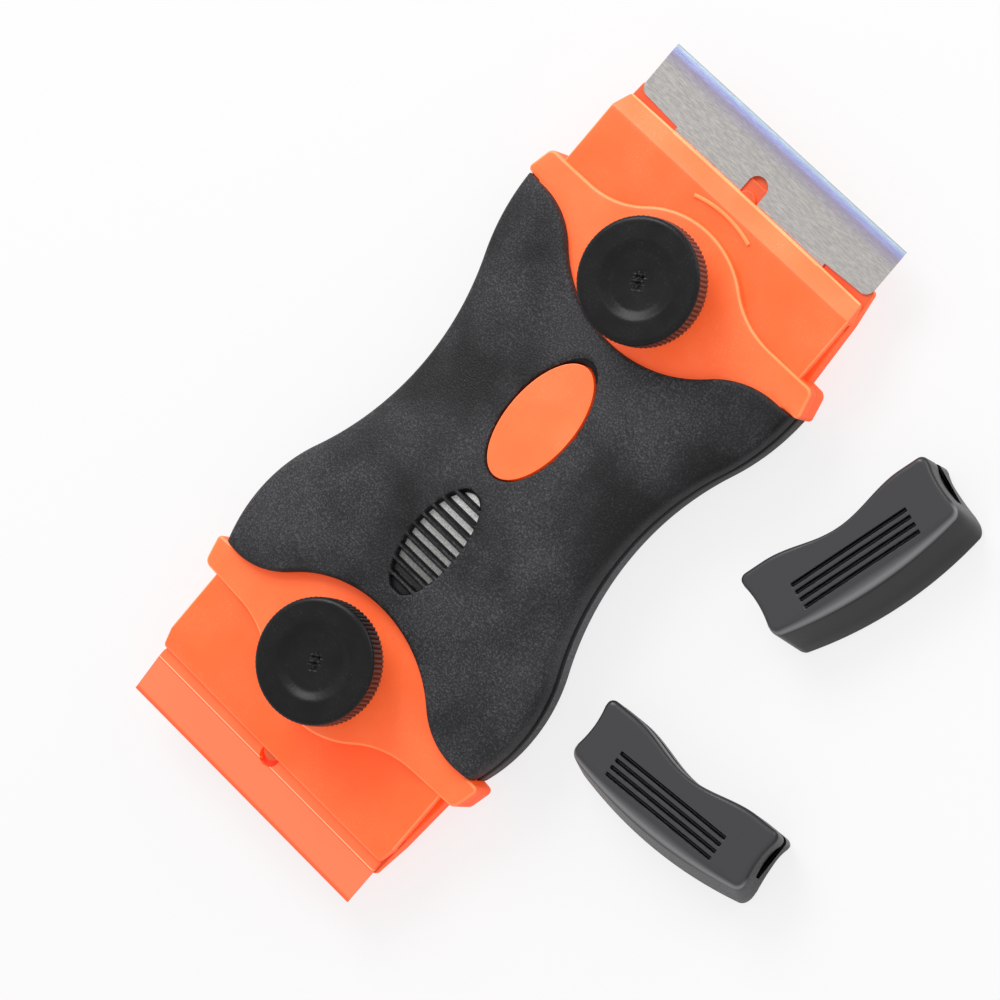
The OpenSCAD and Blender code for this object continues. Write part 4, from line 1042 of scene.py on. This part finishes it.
# The lower grip is a lighter copy of the grip's black, painted light for its lit side band, and from about a
# millimetre below the seam upward it is darkened as painted shade in the slit.
LOWER_BLACK_PAINTED_LIGHT_AND_SHADE = moulded(
    "black_lower_grip_painted_light_and_shade", (0.060, 0.060, 0.064), (0.110, 0.110, 0.118), 0.50, 0.62, 4200.0, 0.10, cloud=75.0,
    speck=(0.24, 0.24, 0.24), mottle=(0.190, 0.190, 0.200),
    rises=((SEAM - SEAM_SHADE_LOW, SEAM - SEAM_SHADE_HIGH, (0.004, 0.004, 0.004)),), Specular_IOR_Level=0.35)
# Painted shade in the dent ahead of the oval.
DENT_SHADE_BLACK = moulded(
    "dent_painted_shade", (0.003, 0.003, 0.003), (0.006, 0.006, 0.006), 0.5, 0.6, 4200.0, 0.02,
    Specular_IOR_Level=0.2)
KNOB_BLACK = moulded(
    "black_knob", (0.003, 0.003, 0.004), (0.006, 0.006, 0.007), 0.32, 0.42, 3500.0, 0.020, cloud=300.0,
    speck=(0.03, 0.03, 0.03), Specular_IOR_Level=0.28)
# Painted highlights on the crests of the knurl.
KNURL_CREST_HIGHLIGHT_GREY = moulded(
    "knurl_crests_painted_highlight", (0.040, 0.040, 0.042), (0.075, 0.075, 0.078), 0.30, 0.40, 3500.0, 0.010)
BLADE_STEEL = brushed_steel()
SCREW_STEEL = turned_metal("screw_steel", (0.50, 0.50, 0.50), (0.66, 0.66, 0.65), 0.30)
BRASS = turned_metal("brass", (0.62, 0.42, 0.15), (0.78, 0.56, 0.22), 0.32)

# Pieces

# The upper shell's inlays are painted light: lighter saddle tops, lit jaw slopes, and highlights on the
# creases and the nose.
piece("upper_shell_look", upper_shell(), "upper_half", ORANGE, ["upper_shell"],
      inlays=((SADDLE_TOP_LIT_ORANGE, on_saddle), (LIT_ORANGE, on_jaw_slope), (CREASE_HIGHLIGHT_ORANGE, on_crease),
              (NOSE_HIGHLIGHT_ORANGE, on_nose)))
piece("lower_shell_look", lower_shell(), "lower_half", ORANGE, ["lower_shell"],
      inlays=((SHADE_ORANGE, under_blade),))
# The dent inlay is painted shade.
piece("upper_grip_look", upper_grip(), "upper_half", GRIP_BLACK, ["upper_grip"], sharp=60.0,
      inlays=((DENT_SHADE_BLACK, in_dent),))
piece("lower_grip_look", lower_grip(), "lower_half", LOWER_BLACK_PAINTED_LIGHT_AND_SHADE, ["lower_grip"], sharp=60.0)
# Each knob's crest inlay is a painted highlight.
for end, place in (("front", KNOB_Y), ("rear", -KNOB_Y)):
    node = f"{end}_knob"
    piece(f"{node}_look", knob(place), node, KNOB_BLACK, [node], sharp=50.0,
          inlays=((KNURL_CREST_HIGHLIGHT_GREY, on_knurl_crest),))
    node = f"{end}_cover"
    plastic = cover_plastic_painted_light(f"{node}_plastic", *COVER_PLACES[node])
    piece(f"{node}_look", cover(*COVER_PLACES[node]), node, plastic, [node], sharp=50.0)
steel_mid_y, plastic_mid_y = STEEL_EDGE_Y - BLADE_H / 2, PLASTIC_EDGE_Y + BLADE_H / 2
piece("steel_blade_look", blade(STEEL_T, STEEL_BEVEL, STEEL_EDGE_T, steel_mid_y, 1, STEEL_LOW_SHARE),
      "steel_blade", BLADE_STEEL, ["steel_blade"], sharp=5.0)
piece("plastic_blade_look",
      blade(PLASTIC_T, PLASTIC_BEVEL, PLASTIC_EDGE_T, plastic_mid_y, -1, PLASTIC_LOW_SHARE),
      "plastic_blade", BLADE_BEVEL_LIGHT_ORANGE, ["plastic_blade"], sharp=5.0)
for names, material in ((("front_bolt", "rear_bolt", "front_washer", "rear_washer"), SCREW_STEEL),
                        (("front_insert", "rear_insert"), BRASS)):
    for name in names:
        data = frame["nodes"][name].data
        data.materials.clear()
        data.materials.append(material)


# Stage, light and camera

def floor():
    """Pale floor that stays white to the camera but keeps faint shadows."""
    size, z = 4.0, -0.02 * MM
    corners = [(-size, -size, z), (size, -size, z), (size, size, z), (-size, size, z)]
    data = bpy.data.meshes.new("floor")
    data.from_pydata(corners, [], [(0, 1, 2, 3)])
    obj = add_object("floor", data)
    mat = bpy.data.materials.new("floor_white")
    mat.use_nodes = True
    tree = mat.node_tree
    tree.nodes.clear()
    matte = tree.nodes.new("ShaderNodeBsdfDiffuse")
    matte.inputs["Color"].default_value = (FLOOR_GREY, FLOOR_GREY, FLOOR_GREY, 1.0)
    glow = tree.nodes.new("ShaderNodeEmission")
    seen = tree.nodes.new("ShaderNodeLightPath")
    share = ramp(tree, seen.outputs["Is Camera Ray"], 0.0, 1.0, 0.0, FLOOR_GLOW)
    blend = tree.nodes.new("ShaderNodeMixShader")
    out = tree.nodes.new("ShaderNodeOutputMaterial")
    tree.links.new(share, blend.inputs[0])
    tree.links.new(matte.outputs[0], blend.inputs[1])
    tree.links.new(glow.outputs[0], blend.inputs[2])
    tree.links.new(blend.outputs[0], out.inputs["Surface"])
    data.materials.append(mat)


def view_axes():
    """Right, up and backward directions of the camera from its azimuth, elevation and roll."""
    az, el, roll = np.radians((CAM_AZ, CAM_EL, CAM_ROLL))
    back = np.array([np.cos(el) * np.sin(az), -np.cos(el) * np.cos(az), np.sin(el)])
    right = np.cross(-back, (0.0, 0.0, 1.0))
    right /= np.linalg.norm(right)
    up = np.cross(right, -back)
    return np.cos(roll) * right + np.sin(roll) * up, -np.sin(roll) * right + np.cos(roll) * up, back


def placed(axes, at):
    """Matrix that puts an object's own axes along given directions at a place."""
    m = np.eye(4)
    m[:3, :3] = np.stack(axes, -1)
    m[:3, 3] = at
    return Matrix(m.tolist())


def camera():
    """Camera at the fitted place."""
    right, up, back = view_axes()
    data = bpy.data.cameras.new("camera")
    data.sensor_width = SENSOR_MM
    data.lens = CAM_FOCAL_PX / FRAME_PX * SENSOR_MM
    data.clip_end = 10.0
    obj = add_object("camera", data)
    obj.matrix_world = placed((right, up, back), (CAM_TARGET + CAM_DIST * back) * MM)
    bpy.context.scene.camera = obj


def area_light(name, share, distance, size, watts):
    """Square lamp that faces the tool; share gives its direction along the picture's
    right, up and towards the camera."""
    right, up, back = view_axes()
    toward = share[0] * right + share[1] * up + share[2] * back
    toward /= np.linalg.norm(toward)
    side = np.cross(up, toward)
    side /= np.linalg.norm(side)
    data = bpy.data.lights.new(name, "AREA")
    data.size = size * MM
    data.energy = watts
    obj = add_object(name, data)
    obj.matrix_world = placed((side, np.cross(toward, side), toward), toward * distance * MM)


def world():
    """Even grey-white surroundings, white where the camera sees them."""
    sky = bpy.data.worlds.new("studio")
    sky.use_nodes = True
    tree = sky.node_tree
    shade = tree.nodes["Background"]
    shade.inputs["Color"].default_value = (1.0, 1.0, 1.0, 1.0)
    seen = tree.nodes.new("ShaderNodeLightPath")
    strength = ramp(tree, seen.outputs["Is Camera Ray"], 0.0, 1.0, SKY_STRENGTH, 1.0)
    tree.links.new(strength, shade.inputs["Strength"])
    bpy.context.scene.world = sky


floor()
world()
area_light("key", (-0.42, 0.76, 0.50), 700.0, 360.0, 2.6)
area_light("side", (0.68, 0.60, 0.60), 800.0, 500.0, 1.4)
camera()
bpy.context.scene.view_settings.view_transform = "Standard"
